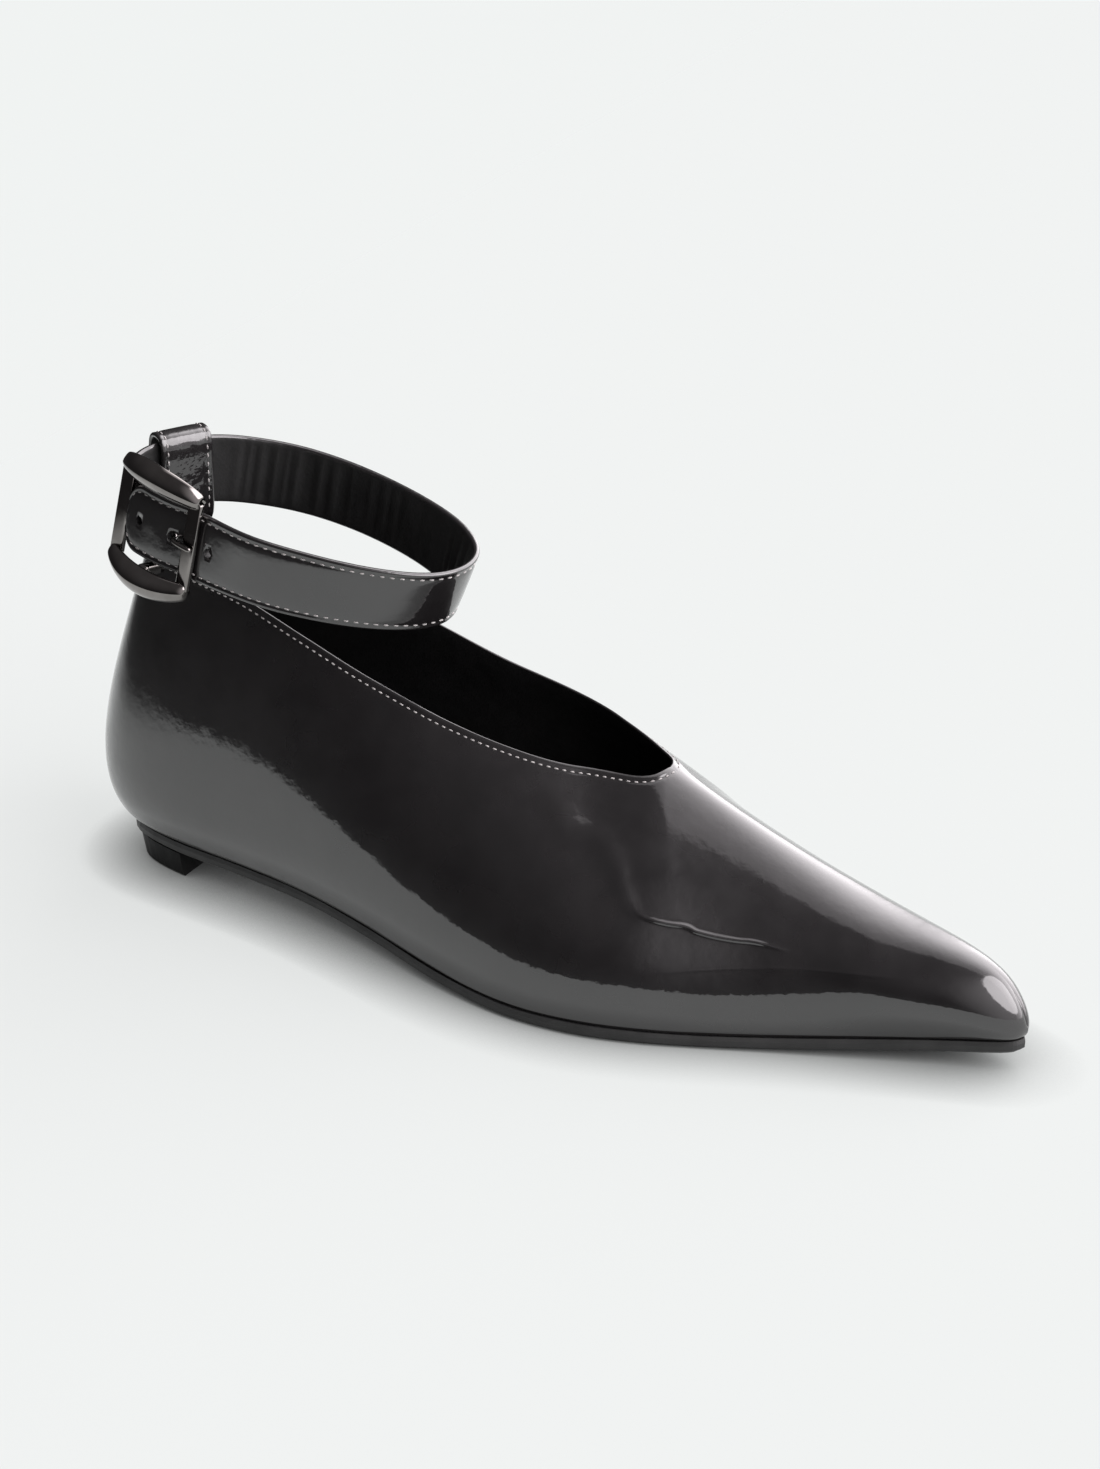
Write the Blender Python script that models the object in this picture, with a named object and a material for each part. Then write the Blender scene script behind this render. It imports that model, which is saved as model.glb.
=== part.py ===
"""Right-foot pointed flat with an ankle strap, put together from its separate pieces.

Lengths are in millimetres until a mesh is made. The toe points along +X, the outer side
faces -Y and +Z is up. Along is measured from the back of the heel, sideways from the line
that joins the heel centre to the toe tip.
"""
import math

import bmesh
import bpy
import numpy as np
from mathutils import Euler

# Sizes that drive the whole shoe
MM = 0.001
FIT_GAP = 0.3
UPPER_WALL = 1.6
SOLE_THICKNESS = 3.7
INSOLE_THICKNESS = 2.0
STRAP_WIDTH = 19.0
STRAP_THICKNESS = 1.6
SHARP_CORNER = math.radians(40.0)

# Bottom edge of the upper, one row per rib from heel to toe tip
FEATHER_COLUMNS = ("along", "outer", "inner", "seat")
FEATHER = (
    (12.0, 0.0, 0.0, 12.0),
    (13.2, 10.0, 9.8, 12.0),
    (19.0, 18.0, 17.5, 12.0),
    (33.0, 22.5, 21.5, 11.8),
    (53.0, 24.5, 22.5, 11.4),
    (77.0, 27.0, 22.0, 10.2),
    (101.0, 32.0, 22.0, 8.0),
    (125.0, 38.5, 25.0, 5.4),
    (147.0, 42.5, 30.0, 4.0),
    (166.0, 42.0, 33.0, 4.0),
    (182.0, 38.0, 33.0, 4.0),
    (197.0, 32.0, 30.5, 4.0),
    (212.0, 25.5, 25.5, 4.5),
    (228.0, 19.0, 19.5, 5.6),
    (244.0, 12.8, 13.5, 7.0),
    (258.0, 7.9, 8.2, 8.3),
    (267.5, 4.9, 5.0, 9.2),
    (272.3, 2.6, 2.6, 9.6),
    (274.0, 0.0, 0.0, 9.8),
)
THROAT_ROW = 11
RIDGE_ROUNDING = (9.5, 11.0)
TOE_ROW = len(FEATHER) - 1

# Line along the top of the last that the ribs run up to: over the collar, then down the vamp ridge
# Columns: along, outer, inner, outer height, inner height
CROWN = (
    (18.2, 0.0, 0.0, 94.0, 94.0),
    (19.2, 8.4, 8.4, 94.0, 93.4),
    (24.0, 14.4, 13.8, 93.8, 92.0),
    (35.8, 17.8, 16.5, 92.8, 89.6),
    (52.4, 19.4, 17.6, 90.6, 86.6),
    (71.8, 19.8, 17.7, 86.8, 83.2),
    (91.5, 18.0, 16.6, 81.6, 79.4),
    (110.0, 13.0, 15.0, 76.6, 75.6),
    (126.5, 6.6, 13.6, 72.6, 72.2),
    (141.5, 1.0, 12.0, 69.0, 68.8),
    (156.0, -2.0, 9.4, 64.2, 64.4),
    (171.0, -3.0, 3.0, 58.0, 58.0),
    (188.0, -3.0, 3.0, 50.1, 50.1),
    (210.0, -2.6, 2.6, 41.5, 41.5),
    (233.0, -1.8, 1.8, 34.2, 34.2),
    (254.0, -0.9, 0.9, 30.2, 30.2),
    (266.5, -0.3, 0.3, 26.0, 26.0),
    (272.6, -0.1, 0.1, 18.9, 18.9),
    (274.5, 0.0, 0.0, 13.0, 13.0),
)

# Along the crown, where the ribs turn to lean straight sideways and where they turn to the toe tip
VAMP_TURN = (100.0, 150.0)
TOE_TURN = (262.0, 274.5)

# Top line of the opening as the side view shows it, from the back seam to the throat
TOP_LINE_COLUMNS = ("along", "outer_height", "inner_height")
TOP_LINE = (
    (19.0, 92.0, 92.0),
    (25.0, 91.8, 88.4),
    (36.0, 90.8, 84.4),
    (55.0, 88.0, 80.8),
    (75.0, 81.6, 77.2),
    (95.0, 73.8, 72.4),
    (115.0, 66.2, 67.2),
    (135.0, 60.9, 63.5),
    (150.0, 57.9, 61.5),
    (162.0, 56.9, 59.3),
    (168.0, 57.1, 58.0),
    (171.0, 58.0, 58.0),
)
TOP_LINE_STEPS = 20

# How each rib swells between its two ends
# Columns: flare, rise, shoulder, drop
SECTION = (
    (17.0, 16.0, 11.0, 38.0),
    (17.0, 14.0, 11.0, 39.0),
    (16.5, 10.0, 11.0, 40.0),
    (15.0, 8.5, 10.5, 41.0),
    (13.5, 8.0, 10.5, 40.0),
    (12.0, 8.5, 11.5, 37.5),
    (9.5, 10.0, 14.0, 33.5),
    (6.5, 12.5, 17.0, 28.0),
    (5.2, 17.0, 18.0, 18.5),
    (5.6, 25.0, 16.2, 16.4),
    (5.2, 31.5, 12.6, 17.0),
    (3.0, 33.2, 8.4, 18.8),
    (2.0, 32.4, 7.8, 18.0),
    (4.2, 28.0, 8.5, 15.0),
    (8.6, 19.8, 9.9, 9.0),
    (8.4, 11.0, 9.2, 3.7),
    (6.0, 4.1, 6.1, 1.4),
    (3.4, 0.9, 2.6, 0.0),
    (1.5, 1.2, 1.0, 0.0),
)


def along_rows(rows, places):
    """Values between table rows: each span is a cubic whose end slopes follow its neighbours."""
    rows = np.asarray(rows, float)
    padded = np.vstack([2 * rows[0] - rows[1], rows, 2 * rows[-1] - rows[-2]])
    places = np.asarray(places, float)
    first = np.clip(places.astype(int), 0, len(rows) - 2)
    t = (places - first)[:, None]
    before, start, end, after = (padded[first + k] for k in range(4))
    bend = 2 * before - 5 * start + 4 * end - after
    twist = 3 * start - before - 3 * end + after
    return start + 0.5 * ((end - before) * t + bend * t ** 2 + twist * t ** 3)


def ease(value, low, high):
    """Soft step from 0 at low to 1 at high."""
    t = np.clip((np.asarray(value, float) - low) / (high - low), 0.0, 1.0)
    return t * t * (3.0 - 2.0 * t)


def unit(vectors):
    """Each vector divided by its own length."""
    return vectors / np.linalg.norm(vectors, axis=-1, keepdims=True)


def feather_edge(places, side):
    """Points of the bottom edge on one side and the flat directions that lead outward there."""
    column = FEATHER_COLUMNS.index("outer" if side < 0 else "inner")
    step = 0.02
    here = along_rows(FEATHER, places)
    ahead = along_rows(FEATHER, np.minimum(places + step, TOE_ROW))
    behind = along_rows(FEATHER, np.maximum(places - step, 0.0))
    points = np.stack([here[:, 0], side * here[:, column], here[:, 3]], -1)
    run_along = ahead[:, 0] - behind[:, 0]
    run_side = side * (ahead[:, column] - behind[:, column])
    outward = unit(np.stack([-side * run_side, side * run_along, 0.0 * run_along], -1))
    outward[places <= 0.0] = (-1.0, 0.0, 0.0)
    outward[places >= TOE_ROW] = (1.0, 0.0, 0.0)
    return points, outward


def crown_line(places, side):
    """Points along the top of the last: each side its own up to the throat, then the ridge they share."""
    along, outer, inner, outer_height, inner_height = along_rows(CROWN, places).T
    shared = np.stack([along, (inner - outer) / 2, (outer_height + inner_height) / 2], -1)
    own = np.stack([along, -outer, outer_height] if side < 0 else [along, inner, inner_height], -1)
    return np.where((places >= THROAT_ROW)[:, None], shared, own)


def shoulder_line(side):
    """Guide points under the crown, one per row: out by the shoulder and down by the drop."""
    rows = np.arange(TOE_ROW + 1.0)
    shoulder, drop = np.array(SECTION).T[2:, :, None]
    top = crown_line(rows, side)
    outward = feather_edge(rows, side)[1]
    over_vamp = ease(top[:, 0], *VAMP_TURN) * (1.0 - ease(top[:, 0], *TOE_TURN))
    sideways = np.array([0.0, side, 0.0])
    lean = unit(outward + over_vamp[:, None] * (sideways - outward))
    return top + shoulder * lean - drop * np.array([0.0, 0.0, 1.0])


def rib_points(places, shares, side):
    """Points at the given shares of each rib, a cubic from the feather edge up to the crown.

    Ahead of the throat the rib is filled up beside the crown, so that both sides meet in a round ridge.
    """
    foot, outward = feather_edge(places, side)
    flare, rise = along_rows(SECTION, places).T[:2, :, None]
    low = foot + flare * outward + rise * np.array([0.0, 0.0, 1.0])
    high = along_rows(shoulder_line(side), places)
    top = crown_line(places, side)
    t = shares[:, :, None]
    rib = (1 - t) ** 3 * foot[:, None] + 3 * (1 - t) ** 2 * t * low[:, None]
    rib = rib + 3 * (1 - t) * t ** 2 * high[:, None] + t ** 3 * top[:, None]
    drop = ease(places, *RIDGE_ROUNDING)[:, None] * (top - high) * np.array([0.0, 0.0, 1.0])
    return rib + 3 * (1 - t) * t ** 3 * drop[:, None]


def top_line_share(places, side):
    """How far up each rib the leather goes: to the top line behind the throat, to the crown ahead."""
    level = TOP_LINE_COLUMNS.index("outer_height" if side < 0 else "inner_height")
    rows = len(TOP_LINE) - 1
    line = along_rows(TOP_LINE, np.linspace(0.0, rows, TOP_LINE_STEPS * rows + 1))
    shares = np.linspace(0.0, 1.0, len(line))
    ribs = rib_points(places, np.tile(shares, (len(places), 1)), side)
    above = ribs[:, :, 2] - np.interp(ribs[:, :, 0], line[:, 0], line[:, level])
    over = np.maximum(np.argmax(above >= 0.0, axis=1), 1)
    ribs_in_turn = np.arange(len(places))
    short, past = above[ribs_in_turn, over - 1], above[ribs_in_turn, over]
    meeting = shares[over - 1] - short / (past - short) * shares[1]
    return np.where(places < THROAT_ROW, meeting, 1.0)


def last_ribs(places, points):
    """Ribs of the upper on the outer and inner side, evenly divided from feather edge to top line."""
    evenly = np.linspace(0.0, 1.0, points)
    return [rib_points(places, top_line_share(places, side)[:, None] * evenly, side) for side in (-1.0, 1.0)]


def grid_faces(numbers):
    """Four-sided faces between neighbouring entries of a table of point numbers."""
    corners = (numbers[:-1, :-1], numbers[1:, :-1], numbers[1:, 1:], numbers[:-1, 1:])
    return np.stack(corners, -1).reshape(-1, 4)


def weld(points):
    """Point list with repeated points taken once, and the number of each point in it."""
    flat = np.asarray(points, float).reshape(-1, 3)
    keys, first, numbers = np.unique(np.round(flat, 4), axis=0, return_index=True, return_inverse=True)
    return flat[first], numbers.reshape(-1)


def clean_faces(faces):
    """Faces with repeated corners taken out, leaving triangles where two corners meet."""
    kept = []
    for face in faces:
        corners = [c for k, c in enumerate(face) if c != face[k - 1]]
        if len(set(corners)) > 2:
            kept.append(corners)
    return kept


def point_normals(points, faces):
    """Direction square to the skin at each point, shared between the faces that meet there."""
    normals = np.zeros_like(points)
    a, b, c, d = (points[faces[:, k]] for k in range(4))
    facing = np.cross(c - a, d - b)
    for k in range(4):
        np.add.at(normals, faces[:, k], facing)
    return unit(normals)


shoe = bpy.data.collections.get("flat_shoe")
for old in list(bpy.data.objects):
    bpy.data.objects.remove(old, do_unlink=True)
if shoe is None:
    shoe = bpy.data.collections.new("flat_shoe")
    bpy.context.scene.collection.children.link(shoe)
cutters = bpy.data.collections.new("cutters")
bpy.context.scene.collection.children.link(cutters)
stand = bpy.data.objects.new("flat_shoe", None)
shoe.objects.link(stand)


def finish(name, colour, roughness, metallic=0.0):
    """Surface finish of one piece."""
    material = bpy.data.materials.new(name)
    material.use_nodes = True
    shader = material.node_tree.nodes["Principled BSDF"]
    shader.inputs["Base Color"].default_value = (*colour, 1.0)
    shader.inputs["Roughness"].default_value = roughness
    shader.inputs["Metallic"].default_value = metallic
    return material


def mesh_of(name, points, faces):
    """Closed mesh in metres with its faces turned outward."""
    points, numbers = weld(points)
    faces = clean_faces([[int(numbers[c]) for c in face] for face in faces])
    mesh = bpy.data.meshes.new(name)
    mesh.from_pydata((points * MM).tolist(), [], faces)
    work = bmesh.new()
    work.from_mesh(mesh)
    bmesh.ops.recalc_face_normals(work, faces=work.faces)
    work.to_mesh(mesh)
    work.free()
    mesh.shade_smooth()
    mesh.set_sharp_from_angle(angle=SHARP_CORNER)
    return mesh


def piece(name, mesh, material):
    """Named piece of the shoe, carried by the shoe's own stand."""
    made = bpy.data.objects.new(name, mesh)
    mesh.materials.append(material)
    shoe.objects.link(made)
    made.parent = stand
    return made


def slab(rings):
    """Points and faces of a slab from its edge rings, top to bottom, each an outer and inner run."""
    table = np.array(rings)
    levels, sides, count = table.shape[:3]
    numbers = np.arange(levels * sides * count).reshape(levels, sides, count)
    faces = [grid_faces(numbers[:, 0]), grid_faces(numbers[:, 1])]
    faces += [grid_faces(numbers[0]), grid_faces(numbers[-1])]
    faces += [grid_faces(numbers[:, :, 0]), grid_faces(numbers[:, :, -1])]
    return table.reshape(-1, 3), np.vstack(faces)


def edge_ring(places, inset, height):
    """Bottom outline drawn in by a distance on both sides, at a height above or below the seat."""
    runs = []
    for side in (-1.0, 1.0):
        points, outward = feather_edge(places, side)
        run = points - inset * outward
        run[:, 2] = height(points)
        runs.append(run)
    return runs


# Outsole with its arch, toe spring and rounded lower edge
SOLE_TOP = -FIT_GAP
SOLE_STEPS = 4
# Columns: inset, share of the way down
SOLE_EDGE = (
    (-0.2, 0.0),
    (-0.5, 0.3),
    (-0.4, 0.7),
    (0.9, 1.0),
)


def sole_underside(points):
    """Height of the sole's underside, flat on the floor under the ball."""
    return np.maximum(points[:, 2] + SOLE_TOP - SOLE_THICKNESS, 0.0)


def sole_level(share_down):
    """Height of one step of the sole edge between its top and its underside."""
    def height(points):
        top = points[:, 2] + SOLE_TOP
        return top + share_down * (sole_underside(points) - top)
    return height


sole_places = np.linspace(0.0, TOE_ROW, SOLE_STEPS * TOE_ROW + 1)
sole_rings = [edge_ring(sole_places, inset, sole_level(share)) for inset, share in SOLE_EDGE]
sole_points, sole_faces = slab(sole_rings)
sole_black = finish("sole_black", (0.012, 0.012, 0.013), 0.5)
piece("outsole", mesh_of("outsole", sole_points, sole_faces), sole_black)

# Low heel block under the back of the sole
HEEL_BREAST_PLACE = 3.05
HEEL_STATIONS = 15
HEEL_TOP_INSET = 0.8
HEEL_FOOT_INSET = 2.0
HEEL_TREAD_INSET = 2.6
HEEL_EDGE_HEIGHT = 0.8

heel_places = np.linspace(0.0, HEEL_BREAST_PLACE, HEEL_STATIONS)
heel_rings = [
    edge_ring(heel_places, HEEL_TOP_INSET, lambda points: sole_underside(points) - FIT_GAP),
    edge_ring(heel_places, HEEL_FOOT_INSET, lambda points: np.full(len(points), HEEL_EDGE_HEIGHT)),
    edge_ring(heel_places, HEEL_TREAD_INSET, lambda points: np.zeros(len(points))),
]
heel_points, heel_faces = slab(heel_rings)
heel_black = finish("heel_black", (0.012, 0.012, 0.013), 0.45)
piece("heel", mesh_of("heel", heel_points, heel_faces), heel_black)

# Upper: one hollow shell, open at the collar and underneath
RIBS_PER_SPAN = 3
RIB_POINTS = 13
THROAT_RIBS = (0.17, 0.07, 0.02)
HOLLOW_EASE_ROW = 13.0
HOLLOW_END_ROW = 16.0
RIM_WIDTH = 2.2


def hollow_places(places, end_row):
    """Rib places of the hollow, which stops short of the toe tip."""
    share = (end_row - HOLLOW_EASE_ROW) / (TOE_ROW - HOLLOW_EASE_ROW)
    return np.where(places > HOLLOW_EASE_ROW, HOLLOW_EASE_ROW + (places - HOLLOW_EASE_ROW) * share, places)


def hollow_ribs(places, points):
    """Inside of the upper: the outer ribs moved in by the wall, with a flat rim at the bottom."""
    ribs = np.array(last_ribs(places, points))
    skin, numbers = weld(ribs)
    numbers = numbers.reshape(ribs.shape[:3])
    faces = np.vstack([grid_faces(numbers[0])[:, ::-1], grid_faces(numbers[1])])
    inside = (skin + UPPER_WALL * point_normals(skin, faces))[numbers]
    for k, side in enumerate((-1.0, 1.0)):
        foot, outward = feather_edge(places, side)
        inside[k, :, 0] = foot - RIM_WIDTH * outward
    return inside


even_places = np.linspace(0.0, TOE_ROW, RIBS_PER_SPAN * TOE_ROW + 1)
upper_places = np.sort(np.concatenate([even_places, THROAT_ROW - np.array(THROAT_RIBS)]))
outside = np.array(last_ribs(upper_places, RIB_POINTS))
inside = hollow_ribs(hollow_places(upper_places, HOLLOW_END_ROW), RIB_POINTS)
upper_points = np.concatenate([outside.reshape(-1, 3), inside.reshape(-1, 3)])
out_numbers = np.arange(outside[..., 0].size).reshape(outside.shape[:3])
in_numbers = out_numbers + out_numbers.size
throat = int(np.searchsorted(upper_places, THROAT_ROW)) + 1
upper_faces = [grid_faces(skin[k]) for skin in (out_numbers, in_numbers) for k in (0, 1)]
for k in (0, 1):
    upper_faces.append(grid_faces(np.stack([out_numbers[k, :, 0], in_numbers[k, :, 0]])))
    upper_faces.append(grid_faces(np.stack([out_numbers[k, :throat, -1], in_numbers[k, :throat, -1]])))
toe_cap = np.stack([in_numbers[0, -1], in_numbers[1, -1]])
toe_rim = (out_numbers[0, -1, 0], in_numbers[0, -1, 0], in_numbers[1, -1, 0], out_numbers[1, -1, 0])
upper_faces += [grid_faces(toe_cap), np.array([toe_rim])]
grey_patent = finish("grey_patent", (0.045, 0.043, 0.045), 0.15)
piece("upper", mesh_of("upper", upper_points, np.vstack(upper_faces)), grey_patent)

# Insole lying on the sole inside the upper
INSOLE_INSET = 2.8
INSOLE_END_ROW = 15.7

insole_places = hollow_places(sole_places, INSOLE_END_ROW)
insole_rings = [
    edge_ring(insole_places, INSOLE_INSET, lambda points: points[:, 2] + INSOLE_THICKNESS),
    edge_ring(insole_places, INSOLE_INSET, lambda points: points[:, 2]),
]
insole_points, insole_faces = slab(insole_rings)
insole_black = finish("insole_black", (0.02, 0.02, 0.021), 0.6)
piece("insole", mesh_of("insole", insole_points, insole_faces), insole_black)

# Where the buckle sits on the strap ring, and which way its own length runs
BUCKLE_CENTRE = (35.5, -24.3, 106.0)
BUCKLE_TURN = math.radians(-13.0)
BUCKLE_DIP = math.radians(8.5)
BUCKLE_LEAN = math.radians(-7.0)
BUCKLE_SET = Euler((BUCKLE_LEAN, BUCKLE_DIP, BUCKLE_TURN))
BUCKLE_LENGTHWISE, BUCKLE_INWARD, BUCKLE_UPWARD = np.array(BUCKLE_SET.to_matrix()).T
BUCKLE_OUTWARD = -BUCKLE_INWARD


def at_buckle(forward, outward):
    """Place in the shoe of a point given in the buckle's own directions."""
    return np.array(BUCKLE_CENTRE) + forward * BUCKLE_LENGTHWISE + outward * BUCKLE_OUTWARD


def tube(centres, across, along, across_radii, along_radii, sides):
    """Points and faces of a round bar: rings of given radii about each centre, closed at both ends."""
    turn = np.linspace(0.0, 2.0 * math.pi, sides, endpoint=False)[None, :, None]
    rings = centres[:, None] + across_radii[:, None, None] * np.cos(turn) * across[:, None]
    rings = rings + along_radii[:, None, None] * np.sin(turn) * along[:, None]
    numbers = np.arange(rings[..., 0].size).reshape(rings.shape[:2])
    faces = grid_faces(np.hstack([numbers, numbers[:, :1]])).tolist()
    faces += [numbers[0].tolist(), numbers[-1].tolist()]
    return rings.reshape(-1, 3), faces


def straight_bar(start, end, radius, sides):
    """Points and faces of a plain round bar between two points."""
    ends = np.array([start, end], float)
    run = unit(ends[1] - ends[0])
    helper = np.eye(3)[np.argmin(np.abs(run))]
    across = unit(np.cross(run, helper))
    along = np.cross(run, across)
    radii = np.array([radius, radius])
    return tube(ends, np.array([across, across]), np.array([along, along]), radii, radii, sides)


def shape_with(target, tool_name, points, faces, operation):
    """Join a tool shape to a piece or cut it out of the piece."""
    tool = bpy.data.objects.new(tool_name, mesh_of(tool_name, points, faces))
    tool.hide_render = True
    tool.display_type = "WIRE"
    cutters.objects.link(tool)
    tool.parent = target
    work = target.modifiers.new(tool_name, "BOOLEAN")
    work.operation = operation
    work.solver = "EXACT"
    work.object = tool


def box(low, high):
    """Points and faces of a box between two corners."""
    low, high = np.array(low), np.array(high)
    corners = np.array([(x, y, z) for x in (0, 1) for y in (0, 1) for z in (0, 1)])
    faces = [(0, 1, 3, 2), (4, 5, 7, 6), (0, 1, 5, 4), (2, 3, 7, 6), (0, 2, 6, 4), (1, 3, 7, 5)]
    return low + corners * (high - low), faces


# Ankle strap: free end in the buckle, round the ankle, through the back loop, folded on the bar
# Columns: forward, outward
FREE_END = (
    (-9.6, 3.9),
    (-5.5, 4.2),
    (-0.5, 4.2),
    (5.0, 3.3),
    (10.0, 1.4),
    (15.5, 0.8),
)
# Columns: along, side, height, lean in degrees
RING = (
    (65.5, -30.3, 102.2, 0.0),
    (80.0, -27.0, 99.8, 4.0),
    (94.0, -21.2, 97.4, 11.0),
    (104.8, -13.0, 95.4, 18.0),
    (109.6, -4.5, 94.7, 22.0),
    (109.2, 4.0, 94.9, 21.0),
    (104.5, 10.8, 95.8, 14.0),
    (96.0, 16.4, 97.3, 7.0),
    (82.0, 20.5, 99.6, 2.0),
    (65.0, 22.2, 102.3, 0.0),
    (49.0, 20.3, 104.8, 0.0),
    (36.5, 14.4, 107.0, 0.0),
    (29.3, 8.2, 108.4, 0.0),
    (23.2, 0.3, 109.2, 0.0),
    (20.4, -5.2, 109.2, 0.0),
    (19.2, -10.6, 108.9, 0.0),
    (19.8, -15.8, 108.4, 0.0),
    (22.2, -20.0, 107.9, 0.0),
)
# Columns: forward, outward
FIXED_END = (
    (-10.4, 0.7),
    (-7.0, 1.5),
    (-4.0, 2.0),
    (-1.5, 2.1),
)
FOLD_RADIUS = 2.1
FOLD_STEPS = 9
# Columns: forward, outward
FOLD_TAIL = (
    (-4.5, -1.9),
    (-9.0, -1.6),
)
STRAP_STEPS = 3
STRAP_EDGE_BEVEL = 0.35
TIP_ROUNDING = 6.0
TIP_SQUARENESS = 2.5
TIP_START = 0.5
ROUND_SIDES = 16
# Columns: name, forward, outward, radius, reach of the punch to either side
HOLES = (
    ("tip_hole", -4.6, 4.2, 1.2, 1.4),
    ("prong_hole", 6.6, 2.8, 1.5, 3.0),
    ("spare_hole", 17.7, 0.8, 1.2, 3.0),
)
SLOT_LOW = (-3.0, -2.95, -1.8)
SLOT_HIGH = (2.95, 3.3, 1.8)


def strap_path():
    """Middle line of the strap from tip to fold, with its lean and how far the buckle holds it upright."""
    held = [(*at_buckle(*row), 0.0, 1.0) for row in FREE_END]
    loose = [(*row, 0.0) for row in RING]
    fixed = [(*at_buckle(*row), 0.0, 1.0) for row in FIXED_END]
    rows = held + loose + fixed
    ring = along_rows(rows, np.linspace(0.0, len(rows) - 1, STRAP_STEPS * (len(rows) - 1) + 1))
    turns = np.linspace(math.pi / 2, -math.pi / 2, FOLD_STEPS)
    fold = [(*at_buckle(FOLD_RADIUS * math.cos(a), FOLD_RADIUS * math.sin(a)), 0.0, 1.0) for a in turns]
    tail = [(*at_buckle(*row), 0.0, 1.0) for row in FOLD_TAIL]
    return np.vstack([ring, fold, tail])


def strap_half_width(path):
    """Half the width along the strap, drawn in to a rounded tip at the free end."""
    steps = np.linalg.norm(np.diff(path[:, :3], axis=0), axis=1)
    run = np.concatenate([[0.0], np.cumsum(steps)]) + TIP_START
    short = np.clip((TIP_ROUNDING - run) / TIP_ROUNDING, 0.0, 1.0)
    return STRAP_WIDTH / 2 * (1.0 - short ** TIP_SQUARENESS) ** (1.0 / TIP_SQUARENESS)


def strap_frame(path):
    """Directions along the strap's width and through its thickness at each step of its path."""
    run = unit(np.gradient(path[:, :3], axis=0))
    sideways = unit(np.stack([run[:, 1], -run[:, 0], 0.0 * run[:, 0]], -1))
    upright = unit(np.cross(sideways, run))
    upright = unit(upright + path[:, 4:5] * (BUCKLE_UPWARD - upright))
    outward = unit(np.cross(run, upright))
    upright = np.cross(outward, run)
    lean = np.radians(path[:, 3:4])
    width_way = upright * np.cos(lean) + outward * np.sin(lean)
    return width_way, outward * np.cos(lean) - upright * np.sin(lean)


def strap_band():
    """Points and faces of the strap: a flat band with bevelled edges carried along its path."""
    path = strap_path()
    width_way, through = strap_frame(path)
    half_width = strap_half_width(path)[:, None]
    half = STRAP_THICKNESS / 2
    inner = half - STRAP_EDGE_BEVEL
    bevel = STRAP_EDGE_BEVEL
    upper_edge = ((half, 1, bevel), (inner, 1, 0.0), (-inner, 1, 0.0), (-half, 1, bevel))
    lower_edge = ((-half, -1, bevel), (-inner, -1, 0.0), (inner, -1, 0.0), (half, -1, bevel))
    profile = upper_edge + lower_edge
    lines = [path[:, :3] + depth * through + sign * (half_width - inset) * width_way
             for depth, sign, inset in profile]
    points = np.stack(lines, 1)
    numbers = np.arange(points[..., 0].size).reshape(points.shape[:2])
    faces = grid_faces(np.hstack([numbers, numbers[:, :1]])).tolist()
    faces += [numbers[0].tolist(), numbers[-1].tolist()]
    return points.reshape(-1, 3), faces


patent_strap = finish("strap_patent", (0.05, 0.048, 0.05), 0.15)
strap = piece("ankle_strap", mesh_of("ankle_strap", *strap_band()), patent_strap)
for name, forward, outward, radius, reach in HOLES:
    near, far = at_buckle(forward, outward - reach), at_buckle(forward, outward + reach)
    shape_with(strap, name, *straight_bar(near, far, radius, ROUND_SIDES), "DIFFERENCE")
slot_points, slot_faces = box(SLOT_LOW, SLOT_HIGH)
turned = np.stack([BUCKLE_LENGTHWISE, BUCKLE_INWARD, BUCKLE_UPWARD])
shape_with(strap, "prong_slot", np.array(BUCKLE_CENTRE) + slot_points @ turned, slot_faces, "DIFFERENCE")

# Buckle frame: two thick bowed bars, a flat plate at each end and a thin bar across the middle
FRAME_HALF_LENGTH = 14.3
BAR_STATIONS = 13
BAR_SIDES = 12
BAR_HEIGHT = 13.0
BAR_HEIGHT_BOW = 1.8
BAR_OUTWARD = 3.2
BAR_OUTWARD_BOW = 3.6
BAR_END_RADIUS = 2.4
BAR_SWELL = 0.8
BAR_END_FULLNESS = 0.3
BAR_END_FLAT = 0.5
PLATE_LOW = (10.9, -3.9, -12.6)
PLATE_HIGH = (14.0, -2.5, 12.6)
CENTRE_BAR_RADIUS = 1.0
CENTRE_BAR_REACH = 12.8
LUG_LOW = (-1.5, -6.0, 10.8)
LUG_HIGH = (1.5, 0.9, 13.8)


def bowed_bar(upper):
    """Points and faces of one bowed bar, fattest in the middle and rounded off at both ends."""
    turn = np.linspace(-math.pi / 2, math.pi / 2, BAR_STATIONS)
    forward = FRAME_HALF_LENGTH * np.sin(turn)
    middle = 1.0 - np.sin(turn) ** 2
    height = upper * (BAR_HEIGHT + BAR_HEIGHT_BOW * middle)
    centres = np.stack([forward, -(BAR_OUTWARD + BAR_OUTWARD_BOW * middle), height], -1)
    radius = (BAR_END_RADIUS + BAR_SWELL * middle) * np.maximum(np.cos(turn), 0.0) ** BAR_END_FULLNESS
    radius = np.maximum(radius, BAR_END_FLAT)
    across = np.tile((0.0, 1.0, 0.0), (BAR_STATIONS, 1))
    along = np.tile((0.0, 0.0, 1.0), (BAR_STATIONS, 1))
    return tube(centres, across, along, radius, radius, BAR_SIDES)


def mirrored(low, high, axis):
    """The two corners of a box after turning it over to the other side."""
    low, high = list(low), list(high)
    low[axis], high[axis] = -high[axis], -low[axis]
    return low, high


def put_at_buckle(made):
    """Set a piece at the buckle's place, turned and dipped with the strap."""
    made.location = [value * MM for value in BUCKLE_CENTRE]
    made.rotation_euler = BUCKLE_SET


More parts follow.
